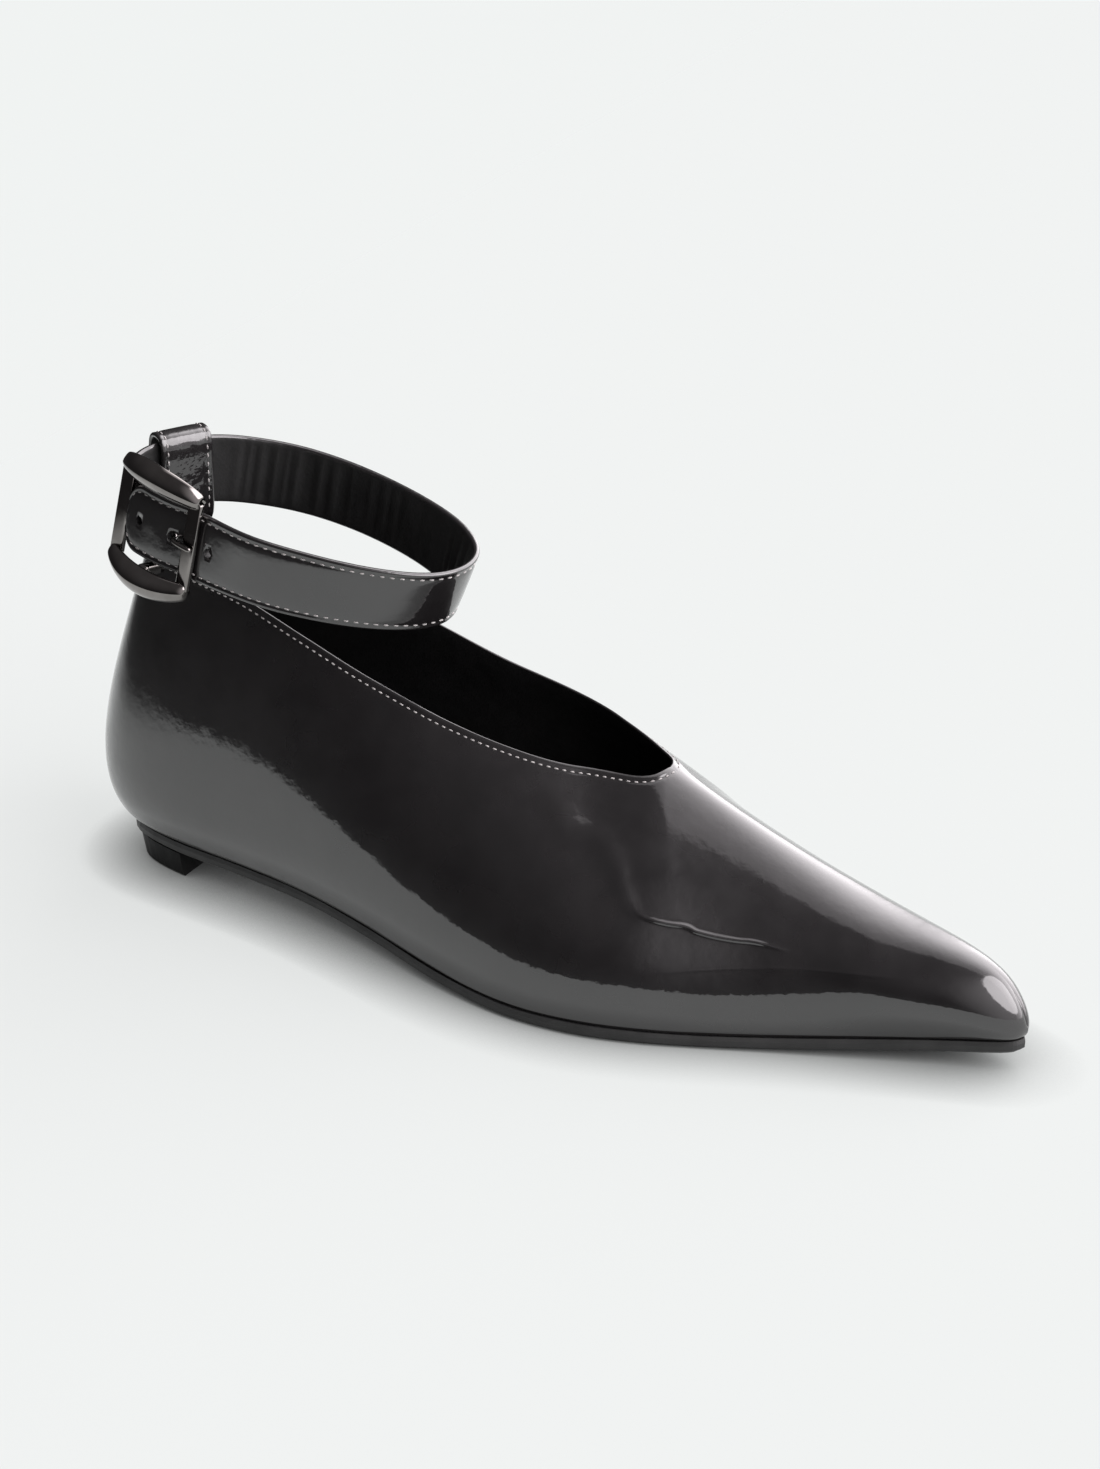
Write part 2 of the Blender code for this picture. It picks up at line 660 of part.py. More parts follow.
gunmetal = finish("gunmetal", (0.28, 0.27, 0.27), 0.2, 1.0)
frame = piece("buckle_frame", mesh_of("buckle_frame", *bowed_bar(1.0)), gunmetal)
put_at_buckle(frame)
shape_with(frame, "front_plate", *box(PLATE_LOW, PLATE_HIGH), "UNION")
shape_with(frame, "rear_plate", *box(*mirrored(PLATE_LOW, PLATE_HIGH, 0)), "UNION")
shape_with(frame, "lower_bar", *bowed_bar(-1.0), "UNION")
shape_with(frame, "upper_lug", *box(LUG_LOW, LUG_HIGH), "UNION")
shape_with(frame, "lower_lug", *box(*mirrored(LUG_LOW, LUG_HIGH, 2)), "UNION")
bar_foot, bar_head = (0.0, 0.0, -CENTRE_BAR_REACH), (0.0, 0.0, CENTRE_BAR_REACH)
centre_bar = straight_bar(bar_foot, bar_head, CENTRE_BAR_RADIUS, ROUND_SIDES)
shape_with(frame, "centre_bar", *centre_bar, "UNION")

# Buckle prong: an eye round the middle bar and an arm through the strap hole onto the front plate
EYE_RADIUS = 2.2
EYE_BORE = CENTRE_BAR_RADIUS + FIT_GAP
EYE_HALF_HEIGHT = 1.3
EYE_SIDES = 20
ARM_RADIUS = 0.8
ARM_SIDES = 8
ARM_STEPS = 3
# Columns: forward, outward
ARM = (
    (1.7, 0.2),
    (3.8, 0.5),
    (5.6, 1.2),
    (6.7, 2.8),
    (7.9, 4.5),
    (9.6, 5.2),
    (12.4, 5.2),
    (14.8, 4.9),
)


def prong_eye():
    """Points and faces of the eye, a short pipe round the middle bar."""
    turn = np.linspace(0.0, 2.0 * math.pi, EYE_SIDES, endpoint=False)
    ring = np.stack([np.cos(turn), np.sin(turn), 0.0 * turn], -1)
    lift = np.array([0.0, 0.0, EYE_HALF_HEIGHT])
    outer, bore = EYE_RADIUS * ring, EYE_BORE * ring
    points = np.stack([outer + lift, outer - lift, bore - lift, bore + lift])
    numbers = np.arange(points[..., 0].size).reshape(points.shape[:2])
    closed = np.vstack([numbers, numbers[:1]])
    return points.reshape(-1, 3), grid_faces(np.hstack([closed, closed[:, :1]]))


def prong_arm():
    """Points and faces of the arm, a round wire bent along its rows."""
    steps = ARM_STEPS * (len(ARM) - 1) + 1
    line = along_rows(ARM, np.linspace(0.0, len(ARM) - 1, steps))
    centres = np.stack([line[:, 0], -line[:, 1], 0.0 * line[:, 0]], -1)
    run = unit(np.gradient(centres, axis=0))
    along = np.tile((0.0, 0.0, 1.0), (steps, 1))
    radius = np.full(steps, ARM_RADIUS)
    return tube(centres, np.cross(along, run), along, radius, radius, ARM_SIDES)


prong = piece("buckle_prong", mesh_of("buckle_prong", *prong_eye()), gunmetal)
put_at_buckle(prong)
shape_with(prong, "prong_arm", *prong_arm(), "UNION")

# Back loop: a folded strip that rises inside the back of the collar and carries the strap
LOOP_CENTRE = (23.0, 0.3)
LOOP_TURN = 31.0
LOOP_BOW_LOW = 82.0
LOOP_TURN_LOW = 88.0
LOOP_TURN_HIGH = 98.0
LOOP_STEPS = 6
LOOP_ENDS = (-6.2, 8.5)
LOOP_BACK_BOW = 2.0
# Columns: outward and height of the skin, then of the slot
LOOP_OUTLINE = (
    (3.3, 79.0, 0.0, 98.2),
    (4.8, 79.0, 0.9, 98.2),
    (2.9, 86.0, 1.8, 98.2),
    (1.2, 92.0, 2.9, 98.4),
    (5.2, 99.5, 3.8, 100.0),
    (5.4, 106.0, 3.9, 106.0),
    (5.5, 112.0, 4.0, 112.0),
    (5.3, 116.5, 3.9, 116.5),
    (4.0, 119.8, 3.0, 118.9),
    (0.6, 121.0, 0.6, 119.6),
    (-2.9, 120.2, -2.0, 119.2),
    (-4.0, 117.0, -2.6, 116.8),
    (-4.1, 112.0, -2.6, 112.0),
    (-4.1, 106.0, -2.6, 106.0),
    (-4.0, 99.5, -2.6, 100.0),
    (-2.2, 92.0, -2.3, 98.4),
    (-0.3, 86.0, -1.5, 98.2),
    (1.6, 79.0, -0.8, 98.2),
)


def loop_points(outward, height):
    """Points of the loop over its width: turned with height and bowed to the back of the upper."""
    across = np.linspace(*LOOP_ENDS, LOOP_STEPS + 1)[:, None]
    bowed = 1.0 - ease(height, LOOP_BOW_LOW, LOOP_TURN_HIGH)
    depth = outward + LOOP_BACK_BOW * bowed * (1.0 - (across / LOOP_ENDS[1]) ** 2)
    angle = np.radians(LOOP_TURN * ease(height, LOOP_TURN_LOW, LOOP_TURN_HIGH))
    along = LOOP_CENTRE[0] - depth * np.cos(angle) + across * np.sin(angle)
    side = LOOP_CENTRE[1] + depth * np.sin(angle) + across * np.cos(angle)
    return np.stack([along, side, height + 0.0 * along], -1)


def back_loop():
    """Points and faces of the loop: its outer skin, the slot through it and its two end faces."""
    outline = np.array(LOOP_OUTLINE)
    skins = np.stack([loop_points(outline[:, 0], outline[:, 1]), loop_points(outline[:, 2], outline[:, 3])])
    numbers = np.arange(skins[..., 0].size).reshape(skins.shape[:3])
    closed = np.concatenate([numbers, numbers[:, :, :1]], 2)
    faces = [grid_faces(closed[0]), grid_faces(closed[1])]
    faces += [grid_faces(closed[:, 0]), grid_faces(closed[:, -1])]
    return skins.reshape(-1, 3), np.vstack(faces)


piece("back_loop", mesh_of("back_loop", *back_loop()), patent_strap)

# Stand the shoe with the middle of its footprint at the origin
bpy.context.view_layer.update()
depsgraph = bpy.context.evaluated_depsgraph_get()
corners = []
for made in shoe.objects:
    if made.type == "MESH":
        solid = made.evaluated_get(depsgraph)
        corners += [solid.matrix_world @ vertex.co for vertex in solid.data.vertices]
corners = np.array(corners)
middle = (corners.min(axis=0) + corners.max(axis=0)) / 2
stand.location = (-middle[0], -middle[1], -corners[:, 2].min())
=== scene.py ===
"""Looks of a right-foot pointed flat with an ankle strap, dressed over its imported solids.

Tables are in millimetres and follow the last: along runs from the back of the heel to the toe,
sideways from the line that joins the heel centre to the toe tip, height from the floor.
The outer side of the foot is at negative sideways values.
"""
import math

import bmesh
import bpy
import numpy as np
from mathutils import Euler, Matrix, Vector


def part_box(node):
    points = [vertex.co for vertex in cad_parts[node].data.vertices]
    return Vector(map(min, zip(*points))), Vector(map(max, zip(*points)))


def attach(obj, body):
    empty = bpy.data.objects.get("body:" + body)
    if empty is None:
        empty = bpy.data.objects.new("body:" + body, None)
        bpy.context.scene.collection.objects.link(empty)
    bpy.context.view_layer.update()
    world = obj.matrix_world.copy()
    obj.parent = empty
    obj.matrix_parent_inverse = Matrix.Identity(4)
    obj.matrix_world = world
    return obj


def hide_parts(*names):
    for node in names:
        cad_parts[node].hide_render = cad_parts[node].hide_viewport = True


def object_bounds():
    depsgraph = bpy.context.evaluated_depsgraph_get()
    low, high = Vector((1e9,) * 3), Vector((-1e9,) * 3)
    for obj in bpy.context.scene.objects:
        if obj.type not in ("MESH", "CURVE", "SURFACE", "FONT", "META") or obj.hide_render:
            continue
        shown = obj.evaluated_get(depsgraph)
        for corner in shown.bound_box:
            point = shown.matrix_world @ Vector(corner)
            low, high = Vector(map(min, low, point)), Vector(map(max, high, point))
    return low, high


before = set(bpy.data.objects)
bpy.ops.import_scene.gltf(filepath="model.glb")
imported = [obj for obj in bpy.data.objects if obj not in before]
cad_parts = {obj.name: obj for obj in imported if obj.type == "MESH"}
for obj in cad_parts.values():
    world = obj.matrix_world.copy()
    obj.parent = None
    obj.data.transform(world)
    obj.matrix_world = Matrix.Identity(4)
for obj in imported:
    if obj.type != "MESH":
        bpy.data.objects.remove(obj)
cad_box = [list(corner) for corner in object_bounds()]

# Upper
# One shell of soft grey patent leather, lasted over a long pointed form and closed by a seam at the
# back. Its top edge is folded over a cord and stitched, its bottom edge is glued round to the sole.
MM = 0.001
OUTER, INNER = -1.0, 1.0
# Columns: along, outer, inner, seat height of the bottom edge
FEATHER = (
    (12.0, 0.0, 0.0, 12.0),
    (13.2, 10.0, 9.8, 12.0),
    (19.0, 18.0, 17.5, 12.0),
    (33.0, 22.5, 21.5, 11.8),
    (53.0, 24.5, 22.5, 11.4),
    (77.0, 27.0, 22.0, 10.2),
    (101.0, 32.0, 22.0, 8.0),
    (125.0, 38.5, 25.0, 5.4),
    (147.0, 42.5, 30.0, 4.0),
    (166.0, 42.0, 33.0, 4.0),
    (182.0, 38.0, 33.0, 4.0),
    (197.0, 32.0, 30.5, 4.0),
    (212.0, 25.5, 25.5, 4.5),
    (228.0, 19.0, 19.5, 5.6),
    (244.0, 12.8, 13.5, 7.0),
    (258.0, 7.9, 8.2, 8.3),
    (267.5, 4.9, 5.0, 9.2),
    (272.3, 2.6, 2.6, 9.6),
    (274.0, 0.0, 0.0, 9.8),
)
# Columns: along, outer, inner, outer height, inner height of the line that the ribs run up to
CROWN = (
    (18.2, 0.0, 0.0, 94.0, 94.0),
    (19.2, 8.4, 8.4, 94.0, 93.4),
    (24.0, 14.4, 13.8, 93.8, 92.0),
    (35.8, 17.8, 16.5, 92.8, 89.6),
    (52.4, 19.4, 17.6, 90.6, 86.6),
    (71.8, 19.8, 17.7, 86.8, 83.2),
    (91.5, 18.0, 16.6, 81.6, 79.4),
    (110.0, 13.0, 15.0, 76.6, 75.6),
    (126.5, 6.6, 13.6, 72.6, 72.2),
    (141.5, 1.0, 12.0, 69.0, 68.8),
    (156.0, -2.0, 9.4, 64.2, 64.4),
    (171.0, -3.0, 3.0, 58.0, 58.0),
    (188.0, -3.0, 3.0, 50.1, 50.1),
    (210.0, -2.6, 2.6, 41.5, 41.5),
    (233.0, -1.8, 1.8, 34.2, 34.2),
    (254.0, -0.9, 0.9, 30.2, 30.2),
    (266.5, -0.3, 0.3, 26.0, 26.0),
    (272.6, -0.1, 0.1, 18.9, 18.9),
    (274.5, 0.0, 0.0, 13.0, 13.0),
)
# Columns: flare and rise at the foot of each rib, shoulder and drop under its top
SECTION = (
    (17.0, 16.0, 11.0, 38.0),
    (17.0, 14.0, 11.0, 39.0),
    (16.5, 10.0, 11.0, 40.0),
    (15.0, 8.5, 10.5, 41.0),
    (13.5, 8.0, 10.5, 40.0),
    (12.0, 8.5, 11.5, 37.5),
    (9.5, 10.0, 14.0, 33.5),
    (6.5, 12.5, 17.0, 28.0),
    (5.2, 17.0, 18.0, 18.5),
    (5.6, 25.0, 16.2, 16.4),
    (5.2, 31.5, 12.6, 17.0),
    (3.0, 33.2, 8.4, 18.8),
    (2.0, 32.4, 7.8, 18.0),
    (4.2, 28.0, 8.5, 15.0),
    (8.6, 19.8, 9.9, 9.0),
    (8.4, 11.0, 9.2, 3.7),
    (6.0, 4.1, 6.1, 1.4),
    (3.4, 0.9, 2.6, 0.0),
    (1.5, 1.2, 1.0, 0.0),
)
# Columns: along, outer height, inner height of the top line
TOP_LINE = (
    (19.0, 92.0, 92.0),
    (25.0, 91.8, 88.4),
    (36.0, 90.8, 84.4),
    (55.0, 88.0, 80.8),
    (75.0, 81.6, 77.2),
    (95.0, 73.8, 72.4),
    (115.0, 66.2, 67.2),
    (135.0, 60.9, 63.5),
    (150.0, 57.9, 61.5),
    (162.0, 56.9, 59.3),
    (168.0, 57.1, 58.0),
    (171.0, 58.0, 58.0),
)
TOP_LINE_STEPS = 20
THROAT_ROW = 11
RIDGE_ROUNDING = (9.5, 11.0)
TOE_ROW = len(FEATHER) - 1
VAMP_TURN = (100.0, 150.0)
TOE_TURN = (262.0, 274.5)
GUIDE_STEPS = 20
GUIDE_SOFTENING = 6.0
RIB_STEPS = 16
THROAT_RIBS = (10.5, 11.3, 0.02)
SEAM_RIBS = (0.0, 0.16, 0.02)
SIDE_SHARE = 0.86
SIDE_POINTS = 66
EDGE_POINTS = 22
LINING_POINTS = 16
UPPER_WALL = 1.6
EDGE_WALL = 0.7
RIM_WIDTH = 2.2
RIM_POINTS = 7
RIM_FULLNESS = 0.7
RIM_SOFTENING = 2.0
RIM_BELOW = 6
HOLLOW_EASE_ROW = 13.0
HOLLOW_END_ROW = 16.0
WELD_REACH = 1e-6


def along_rows(rows, places):
    """Values between table rows: each span is a cubic whose end slopes follow its neighbours."""
    rows = np.asarray(rows, float)
    padded = np.vstack([2 * rows[0] - rows[1], rows, 2 * rows[-1] - rows[-2]])
    places = np.asarray(places, float)
    first = np.clip(places.astype(int), 0, len(rows) - 2)
    t = (places - first)[:, None]
    before, start, end, after = (padded[first + k] for k in range(4))
    bend = 2 * before - 5 * start + 4 * end - after
    twist = 3 * start - before - 3 * end + after
    return start + 0.5 * ((end - before) * t + bend * t ** 2 + twist * t ** 3)


def along_evenly(rows, steps):
    """Values from the first row of a table to its last, with the given number of steps from row to row."""
    return along_rows(rows, np.linspace(0.0, len(rows) - 1, steps * (len(rows) - 1) + 1))


def ease(value, low, high):
    """Soft step from 0 at low to 1 at high: three times the square less twice the cube of the share."""
    t = np.clip((np.asarray(value, float) - low) / (high - low), 0.0, 1.0)
    return t * t * (3.0 - 2.0 * t)


def unit(vectors):
    """Each vector divided by its own length."""
    return vectors / np.maximum(np.linalg.norm(vectors, axis=-1, keepdims=True), 1e-9)


def softened(line, reach):
    """Each point of a line replaced by the bell-weighted mean of its neighbours, the two ends kept."""
    count = int(3 * reach)
    bell = np.exp(-0.5 * (np.arange(-count, count + 1) / reach) ** 2)
    lead = 2 * line[0] - line[count:0:-1]
    tail = 2 * line[-1] - line[-2:-count - 2:-1]
    padded = np.concatenate([lead, line, tail])
    return np.stack([np.convolve(column, bell / bell.sum(), "valid") for column in padded.T], -1)


def feather_edge(places, side):
    """Points of the bottom edge on one side, and its run turned a quarter, which leads outward there."""
    column = 1 if side < 0 else 2
    step = 0.02
    here = along_rows(FEATHER, places)
    ahead = along_rows(FEATHER, np.minimum(places + step, TOE_ROW))
    behind = along_rows(FEATHER, np.maximum(places - step, 0.0))
    points = np.stack([here[:, 0], side * here[:, column], here[:, 3]], -1)
    run_along = ahead[:, 0] - behind[:, 0]
    run_side = side * (ahead[:, column] - behind[:, column])
    outward = unit(np.stack([-side * run_side, side * run_along, 0.0 * run_along], -1))
    outward[places <= 0.0] = (-1.0, 0.0, 0.0)
    outward[places >= TOE_ROW] = (1.0, 0.0, 0.0)
    return points, outward


def crown_line(places, side):
    """Line along the top of the last: each side its own up to the throat, then the ridge they share."""
    along, outer, inner, outer_height, inner_height = along_rows(CROWN, places).T
    shared = np.stack([along, (inner - outer) / 2, (outer_height + inner_height) / 2], -1)
    own = np.stack([along, -outer, outer_height] if side < 0 else [along, inner, inner_height], -1)
    return np.where((places >= THROAT_ROW)[:, None], shared, own)


def rib_guides(side):
    """Foot, low, high and top guide points of finely spaced ribs on one side, side by side in columns.

    Low is the foot moved out by the flare and up by the rise, high is the crown moved out by the shoulder
    and down by the drop. Outward is square to the bottom edge, and turns straight sideways over the vamp.
    """
    rows = np.arange(TOE_ROW + 1.0)
    shoulder, drop = np.array(SECTION).T[2:, :, None]
    crown = crown_line(rows, side)
    leaning = feather_edge(rows, side)[1]
    over_vamp = ease(crown[:, 0], *VAMP_TURN) * (1.0 - ease(crown[:, 0], *TOE_TURN))
    leaning = unit(leaning + over_vamp[:, None] * (np.array([0.0, side, 0.0]) - leaning))
    places = np.linspace(0.0, TOE_ROW, GUIDE_STEPS * TOE_ROW + 1)
    foot, outward = feather_edge(places, side)
    flare, rise = along_rows(SECTION, places).T[:2, :, None]
    low = foot + flare * outward + rise * np.array([0.0, 0.0, 1.0])
    high = along_rows(crown + shoulder * leaning - drop * np.array([0.0, 0.0, 1.0]), places)
    return np.hstack([foot, low, high, crown_line(places, side)])


# The guides run toe to heel on the outer side and back to the toe on the inner side, eased as one line
guide_run = np.concatenate([rib_guides(OUTER)[::-1], rib_guides(INNER)[1:]])
guide_run = softened(guide_run, GUIDE_SOFTENING)
guide_middle = GUIDE_STEPS * TOE_ROW


def rib_points(places, shares, side):
    """Points at the given shares of each rib, a cubic shaped by its foot, low, high and top guides.

    Ahead of the throat it is filled up beside the crown, by three times the drop, the cube of the share
    and the share left, so that the two sides meet level in a round ridge.
    """
    guides = along_rows(guide_run, guide_middle + side * GUIDE_STEPS * places)
    foot, low, high, top = guides.reshape(-1, 4, 1, 3).transpose(1, 0, 2, 3)
    t = shares[:, :, None]
    rib = (1 - t) ** 3 * foot + 3 * (1 - t) ** 2 * t * low + 3 * (1 - t) * t ** 2 * high + t ** 3 * top
    drop = ease(places, *RIDGE_ROUNDING)[:, None, None] * (top - high) * np.array([0.0, 0.0, 1.0])
    return rib + 3 * (1 - t) * t ** 3 * drop


def top_line_share(places, side):
    """How far up each rib the leather goes: to the crown ahead of the throat, and behind it to the top line,
    met on a straight step between the last point below the line and the first above it."""
    line = along_evenly(TOP_LINE, TOP_LINE_STEPS)
    shares = np.linspace(0.0, 1.0, len(line))
    ribs = rib_points(places, np.tile(shares, (len(places), 1)), side)
    above = ribs[:, :, 2] - np.interp(ribs[:, :, 0], line[:, 0], line[:, 1 if side < 0 else 2])
    over = np.maximum(np.argmax(above >= 0.0, axis=1), 1)
    turn = np.arange(len(places))
    short, past = above[turn, over - 1], above[turn, over]
    return np.where(places < THROAT_ROW, shares[over - 1] - short / (past - short) * shares[1], 1.0)


def last_run(places, shares):
    """Skin of the last as one run of ribs, outer toe to heel to inner toe, and its outward directions.

    A direction is the cross product of the steps along and up the skin; on the vamp ridge, where the
    two sides meet, both take their mean.
    """
    sides = [rib_points(places, top_line_share(places, side)[:, None] * shares, side)
             for side in (OUTER, INNER)]
    run = np.concatenate([sides[0][::-1], sides[1][1:]])
    outward = unit(np.cross(np.gradient(run, axis=1), np.gradient(run, axis=0)))
    ridge = np.concatenate([places[::-1], places[1:]]) >= THROAT_ROW
    outward[ridge, -1] = unit(outward[ridge, -1] + outward[::-1][ridge, -1])
    return run, outward


def grid_faces(numbers):
    """Four-sided faces between neighbouring entries of a table of point numbers."""
    corners = (numbers[..., :-1, :-1], numbers[..., 1:, :-1], numbers[..., 1:, 1:], numbers[..., :-1, 1:])
    return np.stack(corners, -1).reshape(-1, 4)


def distance_to(points, line):
    """Distance from each point to the nearest point of a finely divided line."""
    flat = points.reshape(-1, 3)
    square = (flat ** 2).sum(1)[:, None] + (line ** 2).sum(1) - 2.0 * flat @ line.T
    return np.sqrt(np.maximum(square.min(axis=1), 0.0)).reshape(points.shape[:-1])


even_ribs = np.linspace(0.0, TOE_ROW, RIB_STEPS * TOE_ROW + 1)
places = np.unique(np.round(np.concatenate([even_ribs, np.arange(*THROAT_RIBS), np.arange(*SEAM_RIBS)]), 4))
shares = np.concatenate([np.linspace(0.0, SIDE_SHARE, SIDE_POINTS, endpoint=False),
                         np.linspace(SIDE_SHARE, 1.0, EDGE_POINTS)])
skin, skin_out = last_run(places, shares)
heel_rib = len(places) - 1
throat_rib = int(np.searchsorted(places, THROAT_ROW))
collar_ribs = slice(heel_rib - throat_rib, heel_rib + throat_rib + 1)
collar_line = skin[collar_ribs, -1].copy()
from_collar = distance_to(skin, collar_line)

# Folded top edge, its stitch channel, the back seam and the soft creases behind the toes
EDGE_BEAD = (0.06, 0.6, 0.45)
STITCH_CHANNEL = (-0.08, 1.75, 0.5)
SEAM_GROOVE = (-0.3, 0.0, 0.45)
# Columns: along, height, how high the crease stands, how wide it is
CREASES = (
    ((142.0, 55.4, 0.0, 3.0), (150.0, 50.3, 0.28, 2.6), (155.0, 47.1, 0.4, 2.4), (163.0, 45.4, 0.45, 2.2),
     (170.0, 41.4, 0.55, 2.2), (173.0, 37.8, 0.5, 2.0), (179.0, 32.8, 0.36, 1.5), (187.0, 31.2, 0.24, 1.2),
     (195.0, 29.3, 0.22, 1.1), (203.0, 28.2, 0.2, 1.1), (208.0, 28.1, 0.12, 1.1), (216.0, 27.1, 0.0, 1.2)),
    ((185.0, 19.8, 0.0, 1.6), (193.0, 20.6, 0.08, 1.5), (203.0, 21.8, 0.12, 1.4), (218.0, 23.1, 0.1, 1.4),
     (235.0, 24.0, 0.08, 1.3), (251.0, 24.7, 0.0, 1.3)),
)
CREASE_STEPS = 30


def bell(distance, height, middle, width):
    """Bell curve: its height at the middle distance, falling off over the width."""
    return height * np.exp(-((distance - middle) / width) ** 2)


relief = bell(from_collar, *EDGE_BEAD) + bell(from_collar, *STITCH_CHANNEL)
seam_distance = np.linalg.norm(skin[:, :, :2] - skin[heel_rib, :, :2], axis=-1)
relief += bell(seam_distance, *SEAM_GROOVE)
on_outer = (np.arange(len(skin)) < heel_rib)[:, None]
for crease in CREASES:
    line = along_evenly(crease, CREASE_STEPS)
    side_view = skin[:, :, ::2].reshape(-1, 1, 2) - line[:, :2]
    nearest = np.linalg.norm(side_view, axis=-1).argmin(axis=1)
    gap = np.linalg.norm(skin[:, :, ::2].reshape(-1, 2) - line[nearest, :2], axis=-1)
    lift = bell(gap, line[nearest, 2], 0.0, line[nearest, 3]).reshape(relief.shape)
    relief += np.where(on_outer, lift, 0.0)
relief[[0, -1]] = 0.0
skin = skin + relief[:, :, None] * skin_out

# Lining: the skin moved in by the wall, ending short of the toe tip
hollow_share = (HOLLOW_END_ROW - HOLLOW_EASE_ROW) / (TOE_ROW - HOLLOW_EASE_ROW)
lining_places = np.where(places > HOLLOW_EASE_ROW,
                         HOLLOW_EASE_ROW + (places - HOLLOW_EASE_ROW) * hollow_share, places)
lining, lining_out = last_run(lining_places, np.linspace(0.0, 1.0, LINING_POINTS))
lining_wall = np.full(LINING_POINTS, UPPER_WALL)
lining_wall[-1] = EDGE_WALL
lining = lining - lining_wall[:, None] * lining_out
feet = [feather_edge(lining_places, side) for side in (OUTER, INNER)]
lining[:, 0] = np.concatenate([(foot - RIM_WIDTH * outward)[turn] for (foot, outward), turn
                               in zip(feet, (slice(None, None, -1), slice(1, None)))])

# Rolled rim: half circles from the skin over to the lining, square to the run of the collar
rim_out, rim_in = skin[collar_ribs, -1], lining[collar_ribs, -1]
rim_run = np.gradient(softened(collar_line, RIM_SOFTENING), axis=0)
rim_over = unit(np.cross(rim_out - rim_in, rim_run))
rim_over *= np.sign((rim_over * (rim_out - skin[collar_ribs, -RIM_BELOW])).sum(-1, keepdims=True))
rim_over[[0, -1]] = unit(rim_over[:1] + rim_over[-1:])
turns = np.linspace(0.0, math.pi, RIM_POINTS)[1:-1, None]
rim_half = (rim_out - rim_in)[:, None] / 2
rim_radius = np.linalg.norm(rim_half, axis=-1, keepdims=True)
rim = ((rim_out + rim_in)[:, None] / 2 + np.cos(turns) * rim_half
       + RIM_FULLNESS * np.sin(turns) * rim_radius * rim_over[:, None])

upper_points = np.concatenate([block.reshape(-1, 3) for block in (skin, lining, rim)])
skin_numbers = np.arange(skin[..., 0].size).reshape(skin.shape[:2])
lining_numbers = skin_numbers.size + np.arange(lining[..., 0].size).reshape(lining.shape[:2])
rim_numbers = skin_numbers.size + lining_numbers.size + np.arange(rim[..., 0].size).reshape(rim.shape[:2])
vamp = np.arange(throat_rib, len(places))
for numbers in (skin_numbers, lining_numbers):
    numbers[heel_rib + vamp, -1] = numbers[heel_rib - vamp, -1]
skin_numbers[-1] = skin_numbers[0]
rim_numbers[-1] = rim_numbers[0]
rim_table = np.hstack([skin_numbers[collar_ribs, -1:], rim_numbers, lining_numbers[collar_ribs, -1:]])
patent_faces = np.vstack([grid_faces(skin_numbers), grid_faces(rim_table)])
lining_faces = np.vstack([
    grid_faces(lining_numbers),
    grid_faces(np.stack([lining_numbers[:, 0], skin_numbers[:, 0]])),
    grid_faces(np.stack([lining_numbers[0], lining_numbers[-1]])),
])

# Shift from the last's own measure to the part's: it lays the middle of the upper on that of the solid
box_low, box_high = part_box("upper")
skin_low, skin_high = skin.reshape(-1, 3).min(0) * MM, skin.reshape(-1, 3).max(0) * MM
SHOE_SHIFT = np.array([(box_low.x + box_high.x - skin_low[0] - skin_high[0]) / 2,
                       (box_low.y + box_high.y - skin_low[1] - skin_high[1]) / 2, 0.0])


def colour_ramp(nodes, stops):
    """Ramp node through the given stops, each a place and a grey or colour."""
    ramp = nodes.new("ShaderNodeValToRGB")
    while len(ramp.color_ramp.elements) < len(stops):
        ramp.color_ramp.elements.new(0.5)
    for element, (place, colour) in zip(ramp.color_ramp.elements, stops):
        element.position = place
        element.color = (*colour, 1.0) if isinstance(colour, tuple) else (colour, colour, colour, 1.0)
    return ramp


def noise(tree, scale, detail, stretch=(1.0, 1.0, 1.0)):
    """Noise over the piece in its own metres, with the given number of cells to a metre."""
    nodes, links = tree.nodes, tree.links
    coordinates = nodes.new("ShaderNodeTexCoord")
    mapping = nodes.new("ShaderNodeMapping")
    mapping.inputs["Scale"].default_value = stretch
    texture = nodes.new("ShaderNodeTexNoise")
    texture.inputs["Scale"].default_value = scale
    texture.inputs["Detail"].default_value = detail
    links.new(coordinates.outputs["Object"], mapping.inputs["Vector"])
    links.new(mapping.outputs["Vector"], texture.inputs["Vector"])
    return texture.outputs["Fac"]


def summed(tree, operation, *terms):
    """One sum over linked values and plain numbers, in the order given; gives its result."""
    node = tree.nodes.new("ShaderNodeMath")
    node.operation = operation
    for term, socket in zip(terms, node.inputs):
        if isinstance(term, float):
            socket.default_value = term
        else:
            tree.links.new(term, socket)
    return node.outputs["Value"]


def new_finish(name):
    """Material with one plain shader; gives the material, its node tree and that shader."""
    material = bpy.data.materials.new(name)
    material.use_nodes = True
    return material, material.node_tree, material.node_tree.nodes["Principled BSDF"]


def mottled(tree, socket, stops, **pattern):
    """Noise turned into tones by a ramp of stops and linked to a socket of the shader."""
    ramp = colour_ramp(tree.nodes, stops)
    tree.links.new(noise(tree, **pattern), ramp.inputs["Fac"])
    tree.links.new(ramp.outputs["Color"], tree.nodes["Principled BSDF"].inputs[socket])


def bumped(tree, layers):
    """Chain of bump nodes, one for each height pattern with its depth in metres; gives the last normal."""
    normal = None
    for height, depth in layers:
        bump = tree.nodes.new("ShaderNodeBump")
        bump.inputs["Strength"].default_value = 1.0
        bump.inputs["Distance"].default_value = depth
        tree.links.new(height, bump.inputs["Height"])
        if normal is not None:
            tree.links.new(normal, bump.inputs["Normal"])
        normal = bump.outputs["Normal"]
    return normal


